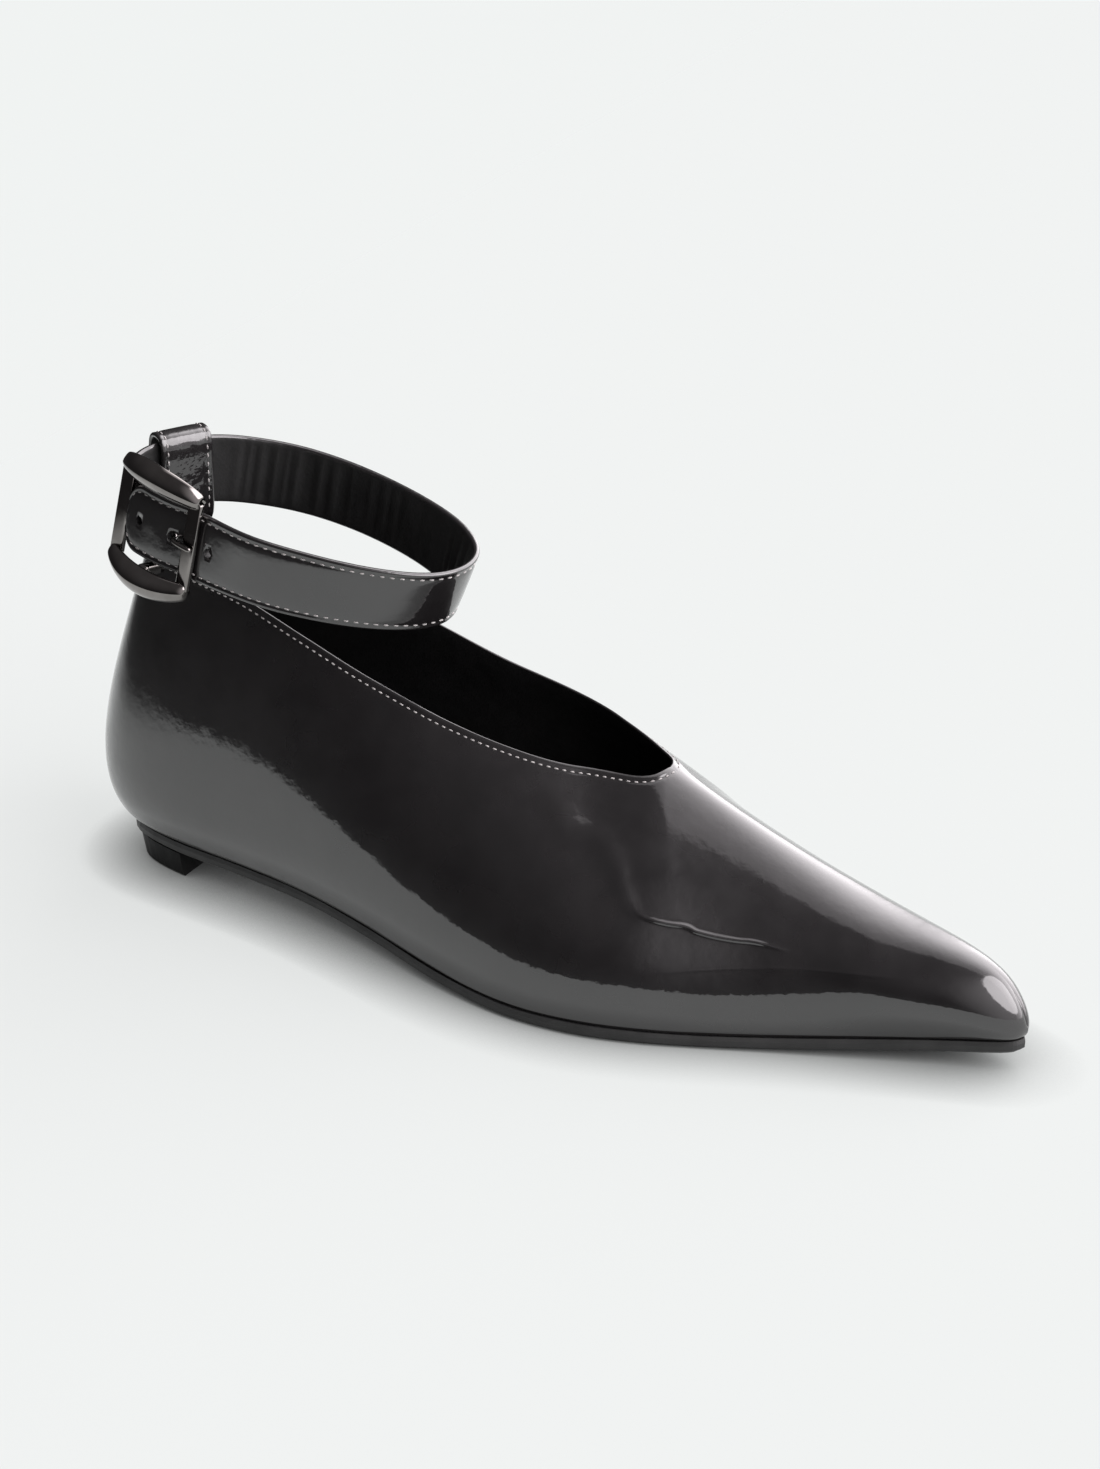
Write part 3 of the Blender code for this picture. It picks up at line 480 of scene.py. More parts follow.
# Fine creases over the joint of the toes: half width, the share of their run that fades out at each end,
# then how high each stands and its rows of along and height
SHARP_WIDTH = 0.5
SHARP_FADE = 0.2
SHARP_CREASES = (
    (0.36, ((177.5, 34.6), (180.5, 32.4), (187.0, 31.0), (191.0, 30.6), (195.0, 29.4), (203.0, 28.3),
            (208.0, 28.1), (212.0, 27.6), (217.0, 26.9))),
    (0.09, ((186.0, 19.8), (192.0, 20.6), (201.0, 21.7), (215.0, 22.9), (225.0, 23.5), (236.0, 24.0),
            (250.0, 24.6))),
)
# Columns: cells to a metre, share of the depth, of the waviness that shows in the lacquer
PEEL = ((85.0, 1.0), (360.0, 0.4), (1100.0, 0.12))
PATENT_DARK, PATENT_LIGHT = (0.0068, 0.006, 0.0064), (0.0105, 0.0093, 0.0098)


def sharp_crease(tree, rows):
    """Height of a fine crease on the outer side, drawn through rows of along and height in millimetres:
    a bell of the distance above or below the line, faded out towards both ends."""
    nodes, links = tree.nodes, tree.links
    along, height = np.array(rows).T * MM + SHOE_SHIFT[[0, 2]][:, None]
    coordinates = nodes.new("ShaderNodeTexCoord")
    place = nodes.new("ShaderNodeSeparateXYZ")
    links.new(coordinates.outputs["Object"], place.inputs["Vector"])
    share = nodes.new("ShaderNodeMapRange")
    share.inputs["From Min"].default_value, share.inputs["From Max"].default_value = along[0], along[-1]
    links.new(place.outputs["X"], share.inputs["Value"])
    line = nodes.new("ShaderNodeFloatCurve")
    low, high = height.min(), height.max()
    points = line.mapping.curves[0].points
    for part, level in zip((along - along[0]) / (along[-1] - along[0]), (height - low) / (high - low)):
        if 0.0 < part < 1.0:
            points.new(part, level)
        else:
            points[0 if part <= 0.0 else -1].location = (part, level)
    line.mapping.update()
    links.new(share.outputs["Result"], line.inputs["Value"])
    level = summed(tree, "MULTIPLY_ADD", line.outputs["Value"], high - low, low)
    gap = summed(tree, "SUBTRACT", place.outputs["Z"], level)
    spread = summed(tree, "POWER", summed(tree, "MULTIPLY", gap, 1.0 / (SHARP_WIDTH * MM)), 2.0)
    ridge = summed(tree, "EXPONENT", summed(tree, "MULTIPLY", spread, -1.0))
    from_end = summed(tree, "PINGPONG", share.outputs["Result"], 0.5)
    fade = summed(tree, "MINIMUM", summed(tree, "MULTIPLY", from_end, 1.0 / SHARP_FADE), 1.0)
    outer = summed(tree, "LESS_THAN", place.outputs["Y"], 0.0)
    return summed(tree, "MULTIPLY", summed(tree, "MULTIPLY", ridge, fade), outer)


def patent_leather(name, dark, light, peel, creases=()):
    """Lacquered leather: a dark base under a clear mirror coat, with a faint waviness from the hide below."""
    material, tree, shader = new_finish(name)
    mottled(tree, "Base Color", ((0.3, dark), (0.7, light)), scale=60.0, detail=3.0)
    mottled(tree, "Roughness", ((0.35, 0.3), (0.7, 0.42)), scale=140.0, detail=4.0)
    shader.inputs["Coat Weight"].default_value = 1.0
    shader.inputs["Coat Roughness"].default_value = 0.035
    shader.inputs["Coat IOR"].default_value = 1.78
    shader.inputs["Specular IOR Level"].default_value = 0.25
    layers = [(noise(tree, scale, detail=1.0), share * peel) for scale, share in PEEL]
    layers += [(sharp_crease(tree, rows), lift * MM) for lift, rows in creases]
    normal = bumped(tree, layers)
    tree.links.new(normal, shader.inputs["Normal"])
    tree.links.new(normal, shader.inputs["Coat Normal"])
    return material


def soft_black(name, dark, light, rough, grain, depth, shine=0.5):
    """Matt black leather or board: two close blacks in patches, with a fine pressed grain."""
    material, tree, shader = new_finish(name)
    mottled(tree, "Base Color", ((0.35, dark), (0.68, light)), scale=110.0, detail=4.0)
    mottled(tree, "Roughness", ((0.3, rough), (0.7, rough + 0.14)), scale=260.0, detail=3.0)
    tree.links.new(bumped(tree, ((noise(tree, grain, detail=4.0), depth),)), shader.inputs["Normal"])
    shader.inputs["Specular IOR Level"].default_value = shine
    return material


def weld(mesh):
    """Merge the points of a mesh that lie in one place and turn its faces outward."""
    work = bmesh.new()
    work.from_mesh(mesh)
    bmesh.ops.remove_doubles(work, verts=work.verts, dist=WELD_REACH)
    bmesh.ops.recalc_face_normals(work, faces=work.faces)
    work.to_mesh(mesh)
    work.free()


def dress(name, points, face_groups, materials, replaced=()):
    """Piece of the shoe from points in millimetres; each group of faces takes its own material."""
    used, faces = np.unique(np.concatenate([np.asarray(group).ravel() for group in face_groups]),
                            return_inverse=True)
    mesh = bpy.data.meshes.new(name)
    mesh.from_pydata((points[used] * MM + SHOE_SHIFT).tolist(), [], faces.reshape(-1, 4).tolist())
    for material in materials:
        mesh.materials.append(material)
    mesh.polygons.foreach_set("material_index", np.repeat(np.arange(len(face_groups)),
                                                          [len(group) for group in face_groups]))
    weld(mesh)
    mesh.shade_smooth()
    made = bpy.data.objects.new(name, mesh)
    bpy.context.scene.collection.objects.link(made)
    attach(made, "root")
    if replaced:
        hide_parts(*replaced)
    return made


upper_patent = patent_leather("upper_patent", PATENT_DARK, PATENT_LIGHT, 0.00008, SHARP_CREASES)
lining_black = soft_black("lining_black", 0.004, 0.008, 0.55, 900.0, 0.0001)
dress("upper_shell", upper_points, (patent_faces, lining_faces), (upper_patent, lining_black),
      ("upper",))

# Top-line stitches: one row of pale thread that follows the folded edge all the way round
STITCH_INSET = 1.75
# Pitch, length and radius of a stitch
TOP_STITCH = (2.1, 1.45, 0.22)
STITCH_RINGS = 5
STITCH_SIDES = 6
STITCH_LOOK = 0.2
# How far a stitch stands up at its middle and dips towards its ends, in radii
STITCH_STAND, STITCH_DIP = 0.3, 1.2


def thread_finish(name, colour, worn):
    """Twisted thread: two close greys in fine flecks, a rough twist and a soft sheen."""
    material, tree, shader = new_finish(name)
    mottled(tree, "Base Color", ((0.3, worn), (0.7, colour)), scale=2200.0, detail=2.0)
    shader.inputs["Roughness"].default_value = 0.6
    shader.inputs["Sheen Weight"].default_value = 0.3
    twist = noise(tree, 3500.0, detail=1.0, stretch=(1.0, 1.0, 0.4))
    tree.links.new(bumped(tree, ((twist, 0.00008),)), shader.inputs["Normal"])
    return material


def ring_faces(points):
    """Faces of a grid of closed rings, by number."""
    numbers = np.arange(points[..., 0].size).reshape(points.shape[:-1])
    return grid_faces(np.concatenate([numbers, numbers[..., :1]], -1))


def run_along(line):
    """Distance of each point of a line from its start, the sum of the steps up to it."""
    return np.concatenate([[0.0], np.cumsum(np.linalg.norm(np.diff(line, axis=0), axis=1))])


def stitch_row(line, outward, pitch, length, radius):
    """Row of stitches along a line, evenly spaced by the pitch: each is a round bead whose radius follows
    a half circle along its length, and whose ends dip into the leather with the fourth power of the share."""
    run = run_along(line)

    def read(table, reach):
        """Table of places or directions read at distances along the line."""
        return np.stack([np.interp(reach, run, column) for column in table.T], -1)

    middles = np.arange(pitch / 2, run[-1], pitch)
    place, up = read(line, middles), unit(read(outward, middles))
    along = unit(read(line, middles + STITCH_LOOK) - read(line, middles - STITCH_LOOK))
    across = unit(np.cross(up, along))
    share = np.linspace(-1.0, 1.0, STITCH_RINGS)[:, None, None]
    turn = np.linspace(0.0, 2.0 * math.pi, STITCH_SIDES, endpoint=False)[:, None]
    swell = np.sqrt(1.0 - share ** 2)
    ring = np.cos(turn) * up[:, None, None] + np.sin(turn) * across[:, None, None]
    sunk = radius * (STITCH_STAND - STITCH_DIP * share ** 4) * up[:, None, None]
    beads = place[:, None, None] + share * length / 2 * along[:, None, None] + radius * swell * ring + sunk
    return beads.reshape(-1, 3), ring_faces(beads)


def joined(parts):
    """Points and faces of several meshes put together as one."""
    starts = np.cumsum([0] + [len(points) for points, faces in parts[:-1]])
    return (np.vstack([points for points, faces in parts]),
            np.vstack([np.asarray(faces) + start for (points, faces), start in zip(parts, starts)]))


def sew(name, rows):
    """Piece of grey thread from rows of stitches."""
    points, faces = joined(rows)
    dress(name, points, (faces,), (grey_thread,))


grey_thread = thread_finish("grey_thread", (0.42, 0.4, 0.39), (0.26, 0.25, 0.245))
gap_from_top = from_collar[:, ::-1]
over = np.argmax(gap_from_top >= STITCH_INSET, axis=1)
sewn = np.nonzero(over)[0]
over = over[sewn]
share = ((STITCH_INSET - gap_from_top[sewn, over - 1])
         / (gap_from_top[sewn, over] - gap_from_top[sewn, over - 1]))[:, None]
from_top, out_from_top = skin[:, ::-1], skin_out[:, ::-1]
stitch_line = from_top[sewn, over - 1] * (1 - share) + from_top[sewn, over] * share
stitch_up = out_from_top[sewn, over - 1] * (1 - share) + out_from_top[sewn, over] * share
sew("top_line_stitches", [stitch_row(stitch_line, stitch_up, *TOP_STITCH)])

# Sole, heel and insole
# A thin black sole is glued to the turned-in edge of the upper, with a low heel block pinned under it
# and a board covered in black leather laid inside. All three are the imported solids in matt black.
sole_finish = soft_black("sole_finish", 0.016, 0.026, 0.4, 500.0, 0.00006)
heel_finish = soft_black("heel_finish", 0.005, 0.008, 0.42, 400.0, 0.00005, 0.18)
insole_finish = soft_black("insole_finish", 0.006, 0.011, 0.6, 800.0, 0.0001)
for node, finish in (("outsole", sole_finish), ("heel", heel_finish), ("insole", insole_finish)):
    solid = bpy.data.objects[node]
    solid.data.materials.clear()
    solid.data.materials.append(finish)

# Ankle strap
# A band of the same patent leather, lined in thin black leather and sewn along both edges. One end is
# folded round the buckle's middle bar, the other passes through the frame and is punched with holes.
BUCKLE_CENTRE = (35.5, -24.3, 106.0)
BUCKLE_SET = Euler((math.radians(-7.0), math.radians(8.5), math.radians(-13.0)))
BUCKLE_LENGTHWISE, BUCKLE_INWARD, BUCKLE_UPWARD = np.array(BUCKLE_SET.to_matrix()).T
# Columns: forward, outward of the buckle's centre
FREE_END = (
    (-9.6, 3.9),
    (-5.5, 4.2),
    (-0.5, 4.2),
    (5.0, 3.3),
    (10.0, 1.4),
    (15.5, 0.8),
)
# Columns: along, side, height, lean in degrees
RING = (
    (65.5, -30.3, 102.2, 0.0),
    (80.0, -27.0, 99.8, 4.0),
    (94.0, -21.2, 97.4, 11.0),
    (104.8, -13.0, 95.4, 18.0),
    (109.6, -4.5, 94.7, 22.0),
    (109.2, 4.0, 94.9, 21.0),
    (104.5, 10.8, 95.8, 14.0),
    (96.0, 16.4, 97.3, 7.0),
    (82.0, 20.5, 99.6, 2.0),
    (65.0, 22.2, 102.3, 0.0),
    (49.0, 20.3, 104.8, 0.0),
    (36.5, 14.4, 107.0, 0.0),
    (29.3, 8.2, 108.4, 0.0),
    (23.2, 0.3, 109.2, 0.0),
    (20.4, -5.2, 109.2, 0.0),
    (19.2, -10.6, 108.9, 0.0),
    (19.8, -15.8, 108.4, 0.0),
    (22.2, -20.0, 107.9, 0.0),
)
# Columns: forward, outward of the buckle's centre
FIXED_END = (
    (-10.4, 0.7),
    (-7.0, 1.5),
    (-4.0, 2.0),
    (-1.5, 2.1),
)
FOLD_TAIL = (
    (-4.5, -1.9),
    (-9.0, -1.6),
)
FOLD_RADIUS = 2.1
FOLD_STEPS = 17
STRAP_STEPS = 14
STRAP_SOFTENING = 4.0
STRAP_WIDTH = 19.0
TIP_ROUNDING = 6.0
TIP_SQUARENESS = 2.5
TIP_START = 0.5
# Columns: inset from the edge, depth through the band; the face, its stitch channel and its folded edge
STRAP_FACE = (
    (9.5, 0.98), (7.0, 0.97), (5.0, 0.94), (3.6, 0.9), (2.8, 0.85), (2.2, 0.76), (1.8, 0.68), (1.4, 0.72),
    (1.0, 0.82), (0.6, 0.86), (0.25, 0.76), (0.05, 0.5), (0.0, 0.2),
)
STRAP_LINING = (
    (0.02, -0.15), (0.2, -0.55), (0.6, -0.74), (1.4, -0.78), (3.0, -0.8), (6.0, -0.82), (9.5, -0.82),
)
LINED_BELOW = -0.6
# Columns: share of the strap's run, half width of the stretch, depth of its folds, folds to the millimetre
LINING_FOLDS = (
    (0.66, 0.07, 0.7, 0.24),
    (0.56, 0.05, 0.4, 0.22),
    (0.36, 0.07, 0.5, 0.3),
    (0.43, 0.04, 0.35, 0.24),
)
# Columns: how far the folds stray along the strap, turns to the millimetre in radians, where the first begins
FOLD_WANDER = ((1.6, 0.21, 0.0), (0.8, 0.57, 1.0))
FOLD_HIGH = 0.3
FOLD_EDGE = 3.0
FOLD_ROUNDING = 0.12
STRAP_STITCH_INSET = 1.75
STRAP_STITCH_DEPTH = 0.66
STRAP_STITCH = (2.6, 1.8, 0.24)
STRAP_STITCH_START = 2
# Columns: forward, outward of the buckle's centre, radius, reach of the punch to either side
HOLES = (
    (-4.6, 4.2, 1.2, 1.4),
    (6.6, 2.8, 1.5, 3.0),
    (17.7, 0.8, 1.2, 3.0),
)
HOLE_SIDES = 24
# Slot in the fold for the eye of the prong: half length and height, and from where to where it is cut
SLOT_HALF = (2.97, 1.8)
SLOT_OUTWARD = (-3.3, 2.95)
SLOT_SQUARENESS = 0.4


def at_buckle(forward, outward, upward=0.0):
    """Place in the shoe of a point given in the buckle's own directions."""
    forward, outward, upward = (np.asarray(value, float)[..., None] for value in (forward, outward, upward))
    return (np.array(BUCKLE_CENTRE) + forward * BUCKLE_LENGTHWISE - outward * BUCKLE_INWARD
            + upward * BUCKLE_UPWARD)


def held_rows(rows):
    """Strap rows that the buckle holds: their places, no lean, and full hold."""
    places = at_buckle(*np.array(rows).T)
    return np.hstack([places, np.tile((0.0, 1.0), (len(rows), 1))])


def strap_path():
    """Middle line of the strap from tip to fold, with its lean and how far the buckle holds it upright."""
    loose = np.hstack([np.array(RING), np.zeros((len(RING), 1))])
    rows = np.vstack([held_rows(FREE_END), loose, held_rows(FIXED_END)])
    ring = along_evenly(rows, STRAP_STEPS)
    turns = np.linspace(math.pi / 2, -math.pi / 2, FOLD_STEPS)
    fold = held_rows(FOLD_RADIUS * np.stack([np.cos(turns), np.sin(turns)], -1))
    return np.vstack([softened(ring, STRAP_SOFTENING), fold, held_rows(FOLD_TAIL)])


def strap_frame(path):
    """Directions along the strap's width and through its thickness at each step of its path.

    They are square to the run, the first upright or along the buckle's height, and both turned by the lean.
    """
    run = unit(np.gradient(path[:, :3], axis=0))
    sideways = unit(np.stack([run[:, 1], -run[:, 0], 0.0 * run[:, 0]], -1))
    upright = unit(np.cross(sideways, run))
    upright = unit(upright + path[:, 4:5] * (BUCKLE_UPWARD - upright))
    outward = unit(np.cross(run, upright))
    upright = np.cross(outward, run)
    lean = np.radians(path[:, 3:4])
    width_way = upright * np.cos(lean) + outward * np.sin(lean)
    return width_way, outward * np.cos(lean) - upright * np.sin(lean)


def capped(points):
    """Grid of rings with each end ring repeated as its own middle point, so that the end closes."""
    middles = points[[0, -1]].mean(axis=1, keepdims=True) + np.zeros_like(points[[0, -1]])
    return np.concatenate([middles[:1], points, middles[1:]])


def band_section(face, lining):
    """Points round a band, from the middle of its face over one edge, along the lining and back over the
    other edge: their inset from the edge, their depth, and whether they belong to that other edge."""
    there = face + lining
    inset, depth = np.array(there + lining[-2::-1] + face[:0:-1]).T
    return inset, depth, np.arange(len(inset)) >= len(there)


path = strap_path()
width_way, through = strap_frame(path)
run = run_along(path[:, :3])
short = np.clip((TIP_ROUNDING - TIP_START - run) / TIP_ROUNDING, 0.0, 1.0)
half_width = STRAP_WIDTH / 2 * (1.0 - short ** TIP_SQUARENESS) ** (1.0 / TIP_SQUARENESS)
wander = run
for stray, rate, start in FOLD_WANDER:
    wander = wander + stray * np.sin(rate * run + start)
folds = np.zeros_like(run)
for share, reach, depth, count in LINING_FOLDS:
    folds += bell(run / run[-1], depth, share, reach) * np.sin(2 * math.pi * count * wander)
inset, depth, lower = band_section(STRAP_FACE, STRAP_LINING)
on_lining = depth < LINED_BELOW
across = np.where(lower, -1.0, 1.0) * np.maximum(half_width[:, None] - inset, 0.0)
fold_share = np.where(on_lining, np.clip(inset / FOLD_EDGE, 0.0, 1.0), 0.0)
thickness = depth + np.minimum(folds, FOLD_HIGH)[:, None] * fold_share * np.cos(FOLD_ROUNDING * across)
band = path[:, None, :3] + across[..., None] * width_way[:, None] + thickness[..., None] * through[:, None]
band = capped(band)
band_faces = ring_faces(band).reshape(-1, len(inset), 4)
lined = on_lining & np.roll(on_lining, -1)
strap_patent = patent_leather("strap_patent_finish", PATENT_DARK, PATENT_LIGHT, 0.0001)
strap = dress("strap_band", band.reshape(-1, 3),
              (band_faces[:, ~lined].reshape(-1, 4), band_faces[:, lined].reshape(-1, 4)),
              (strap_patent, lining_black), ("ankle_strap",))


def round_bar(centres, across_way, along_way, across_radius, along_radius, sides, squareness=1.0):
    """Rings about each centre: cosine across and sine along, each raised to the squareness; ends closed."""
    turn = np.linspace(0.0, 2.0 * math.pi, sides, endpoint=False)[None, :, None]
    cosine, sine = np.cos(turn), np.sin(turn)
    wide = np.sign(cosine) * np.abs(cosine) ** squareness * np.reshape(across_radius, (-1, 1, 1))
    tall = np.sign(sine) * np.abs(sine) ** squareness * np.reshape(along_radius, (-1, 1, 1))
    rings = (centres[:, None] + wide * np.reshape(across_way, (-1, 1, 3))
             + tall * np.reshape(along_way, (-1, 1, 3)))
    rings = capped(rings)
    return rings.reshape(-1, 3), ring_faces(rings)


def punched(made, points, faces):
    """Cut a shape out of a piece, its walls taking the piece's second material, and keep the result."""
    mesh = bpy.data.meshes.new("punch")
    mesh.from_pydata((points * MM + SHOE_SHIFT).tolist(), [], faces.tolist())
    weld(mesh)
    for material in made.data.materials:
        mesh.materials.append(material)
    mesh.polygons.foreach_set("material_index", np.ones(len(mesh.polygons), int))
    punch = bpy.data.objects.new("punch", mesh)
    bpy.context.scene.collection.objects.link(punch)
    cut = made.modifiers.new("punch", "BOOLEAN")
    cut.operation, cut.solver, cut.object = "DIFFERENCE", "EXACT", punch
    bpy.context.view_layer.update()
    solid = bpy.data.meshes.new_from_object(made.evaluated_get(bpy.context.evaluated_depsgraph_get()))
    made.modifiers.remove(cut)
    made.data = solid
    bpy.data.objects.remove(punch, do_unlink=True)


punches = []
for forward, outward, radius, reach in HOLES:
    ends = at_buckle((forward, forward), (outward - reach, outward + reach))
    punches.append(round_bar(ends, BUCKLE_LENGTHWISE, BUCKLE_UPWARD, radius, radius, HOLE_SIDES))
slot_ends = at_buckle((0.0, 0.0), SLOT_OUTWARD)
punches.append(round_bar(slot_ends, BUCKLE_LENGTHWISE, BUCKLE_UPWARD, *SLOT_HALF, HOLE_SIDES,
                         SLOT_SQUARENESS))
for shape in punches:
    punched(strap, *shape)

# Strap stitches: a row near each edge, round the tip and along to the fold
sewn = slice(STRAP_STITCH_START, -FOLD_STEPS - len(FOLD_TAIL) - STRAP_STITCH_START)
rows = []
for edge in (1.0, -1.0):
    place = edge * np.maximum(half_width - STRAP_STITCH_INSET, 0.0)[:, None]
    line = path[:, :3] + place * width_way + STRAP_STITCH_DEPTH * through
    rows.append(stitch_row(line[sewn], through[sewn], *STRAP_STITCH))
sew("strap_stitches", rows)

# Back loop
# A strip of patent leather folded over the strap, its two ends sewn together inside the back of the
# collar. It stands upright behind the ankle, turned a little to the outer side.
LOOP_CENTRE = (23.0, 0.3)
LOOP_TURN = 31.0
LOOP_BOW_LOW = 82.0
LOOP_TURN_LOW = 88.0
LOOP_TURN_HIGH = 98.0
LOOP_ENDS = (-6.2, 8.5)
LOOP_BACK_BOW = 2.0
LOOP_HALF_THICKNESS = 0.7
LOOP_STEPS = 9
LOOP_SOFTENING = 3.0
# Columns: outward, height of the strip's outside, from its outer end up over the strap and down again
LOOP_OUTSIDE = (
    (4.8, 79.0),
    (2.9, 86.0),
    (1.2, 92.0),
    (5.2, 99.5),
    (5.4, 106.0),
    (5.5, 112.0),
    (5.3, 116.5),
    (4.0, 119.8),
    (0.6, 121.0),
    (-2.9, 120.2),
    (-4.0, 117.0),
    (-4.1, 112.0),
    (-4.1, 106.0),
    (-4.0, 99.5),
    (-2.2, 92.0),
    (-0.3, 86.0),
    (1.6, 79.0),
)
# Columns: inset from the edge, depth through the strip
LOOP_FACE = (
    (7.35, 0.74), (5.0, 0.74), (3.4, 0.72), (2.6, 0.68), (2.1, 0.6), (1.7, 0.56), (1.3, 0.6), (0.9, 0.68),
    (0.4, 0.66), (0.1, 0.45), (0.0, 0.1),
)
LOOP_INSIDE = ((0.05, -0.4), (0.4, -0.64), (2.0, -0.7), (7.35, -0.7))
LOOP_INSIDE_BELOW = -0.5
LOOP_STITCH_INSET = 1.7
LOOP_STITCH_DEPTH = 0.56
LOOP_STITCH = (2.4, 1.65, 0.22)
# Shares of the strip's run where its stitches begin and end
LOOP_SEWN = (0.2, 0.84)


def loop_points(outward, height, across):
    """Points of the loop over its width: turned with height and bowed to the back of the upper."""
    bowed = 1.0 - ease(height, LOOP_BOW_LOW, LOOP_TURN_HIGH)
    depth = outward + LOOP_BACK_BOW * bowed * (1.0 - (across / LOOP_ENDS[1]) ** 2)
    angle = np.radians(LOOP_TURN * ease(height, LOOP_TURN_LOW, LOOP_TURN_HIGH))
    along = LOOP_CENTRE[0] - depth * np.cos(angle) + across * np.sin(angle)
    side = LOOP_CENTRE[1] + depth * np.sin(angle) + across * np.cos(angle)
    return np.stack([along, side, height + 0.0 * along], -1)


strip = softened(along_evenly(LOOP_OUTSIDE, LOOP_STEPS), LOOP_SOFTENING)
strip_run = unit(np.gradient(strip, axis=0))
strip_out = np.stack([strip_run[:, 1], -strip_run[:, 0]], -1)
middle_line = strip - LOOP_HALF_THICKNESS * strip_out
inset, depth, lower = band_section(LOOP_FACE, LOOP_INSIDE)
across = np.where(lower, LOOP_ENDS[0] + inset, LOOP_ENDS[1] - inset)[None]
section = middle_line[:, None] + depth[None, :, None] * strip_out[:, None]
loop = capped(loop_points(section[..., 0], section[..., 1], across))
loop_faces = ring_faces(loop).reshape(-1, len(inset), 4)
on_inside = depth < LOOP_INSIDE_BELOW
inside = on_inside & np.roll(on_inside, -1)
loop_patent = patent_leather("loop_patent", PATENT_DARK, PATENT_LIGHT, 0.00028)
dress("loop_strip", loop.reshape(-1, 3),
      (loop_faces[:, ~inside].reshape(-1, 4), loop_faces[:, inside].reshape(-1, 4)),
      (loop_patent, lining_black), ("back_loop",))
sewn = slice(int(LOOP_SEWN[0] * len(strip)), int(LOOP_SEWN[1] * len(strip)))
seat = strip[sewn] - (LOOP_HALF_THICKNESS - LOOP_STITCH_DEPTH) * strip_out[sewn]
raised = seat + strip_out[sewn]
rows = []
for across in (LOOP_ENDS[0] + LOOP_STITCH_INSET, LOOP_ENDS[1] - LOOP_STITCH_INSET):
    line = loop_points(seat[:, 0], seat[:, 1], across)
    rows.append(stitch_row(line, loop_points(raised[:, 0], raised[:, 1], across) - line, *LOOP_STITCH))
sew("loop_stitches", rows)

# Buckle
# A cast zinc frame in polished gunmetal plating: two thick bowed bars with a soft ridge, a flat bar at each
# end and a thin pin across the middle, held by two lugs, that carries the folded strap and a bent wire prong.
FRAME_HALF_LENGTH = 14.3
BAR_STATIONS = 41
BAR_SIDES = 36
BAR_HEIGHT = 13.0
BAR_HEIGHT_BOW = 1.8
BAR_OUTWARD = 3.2
BAR_OUTWARD_BOW = 3.6
BAR_END_RADIUS = (2.6, 3.2)
BAR_SWELL = (0.5, 0.7)
BAR_END_FULLNESS = 0.3
BAR_LEAST_RADIUS = 0.4
BAR_SQUARENESS = 1.4
PLATE_FORWARD = 12.45
PLATE_OUTWARD = 3.2
PLATE_HALF = (2.2, 0.8)
PLATE_REACH = 12.6
PLATE_SQUARENESS = 0.4
PLATE_SIDES = 28
# How far along an upright bar its full section goes, and how slim its ends are, as shares
UPRIGHT_FULL, UPRIGHT_SLIM = 0.97, 0.85
PIN_HALF = (1.0, 1.0)
PIN_REACH = 12.8
PIN_SIDES = 20
LUG_HALF = (1.5, 1.5)
LUG_STATIONS = 6
LUG_SIDES = 20
LUG_SQUARENESS = 0.4
LUG_HEIGHT = 12.3
LUG_OUTWARD = (-0.9, 6.0)
EYE_RADIUS = 1.75
EYE_WIRE = (0.45, 1.3)
EYE_STATIONS = 33
EYE_SQUARENESS = 0.6
WIRE_RADIUS = 0.8
WIRE_STEPS = 8
WIRE_SIDES = 16
# The tip rounds off over the last part in this many of the wire, down to this share of its section
WIRE_TIP_PARTS, WIRE_TIP_LEAST = 8.0, 0.05
# Columns: forward, outward of the prong's wire
PRONG = (
    (1.7, 0.2),
    (3.8, 0.5),
    (5.6, 1.2),
    (6.7, 2.8),
    (7.9, 4.5),
    (9.6, 5.2),
    (12.4, 5.2),
    (14.8, 4.9),
)


def bowed_bar(upper):
    """One bowed bar: its middle line rises and stands out with the square of a cosine, its radius too."""
    turn = np.linspace(-math.pi / 2, math.pi / 2, BAR_STATIONS)
    middle = np.cos(turn) ** 2
    centres = at_buckle(FRAME_HALF_LENGTH * np.sin(turn), BAR_OUTWARD + BAR_OUTWARD_BOW * middle,
                        upper * (BAR_HEIGHT + BAR_HEIGHT_BOW * middle))
    full = np.maximum(np.cos(turn), 0.0) ** BAR_END_FULLNESS
    deep, tall = (np.maximum((end + swell * middle) * full, BAR_LEAST_RADIUS)
                  for end, swell in zip(BAR_END_RADIUS, BAR_SWELL))
    return round_bar(centres, BUCKLE_INWARD, BUCKLE_UPWARD, deep, tall, BAR_SIDES, BAR_SQUARENESS)


def upright_bar(forward, outward, half, reach, squareness, sides):
    """Straight bar along the buckle's height, its section a rounded box of the given half sizes."""
    heights = reach * np.array([-1.0, -UPRIGHT_FULL, UPRIGHT_FULL, 1.0])
    slim = np.array([UPRIGHT_SLIM, 1.0, 1.0, UPRIGHT_SLIM])
    centres = at_buckle(np.full(4, forward), np.full(4, outward), heights)
    return round_bar(centres, BUCKLE_LENGTHWISE, BUCKLE_INWARD, half[0] * slim, half[1] * slim, sides,
                     squareness)


def lug(upper):
    """Short block from a bowed bar in to the middle pin, its section a rounded square."""
    outward = np.linspace(*LUG_OUTWARD, LUG_STATIONS)
    centres = at_buckle(0.0 * outward, outward, np.full(LUG_STATIONS, upper * LUG_HEIGHT))
    return round_bar(centres, BUCKLE_LENGTHWISE, BUCKLE_UPWARD, *LUG_HALF, LUG_SIDES, LUG_SQUARENESS)


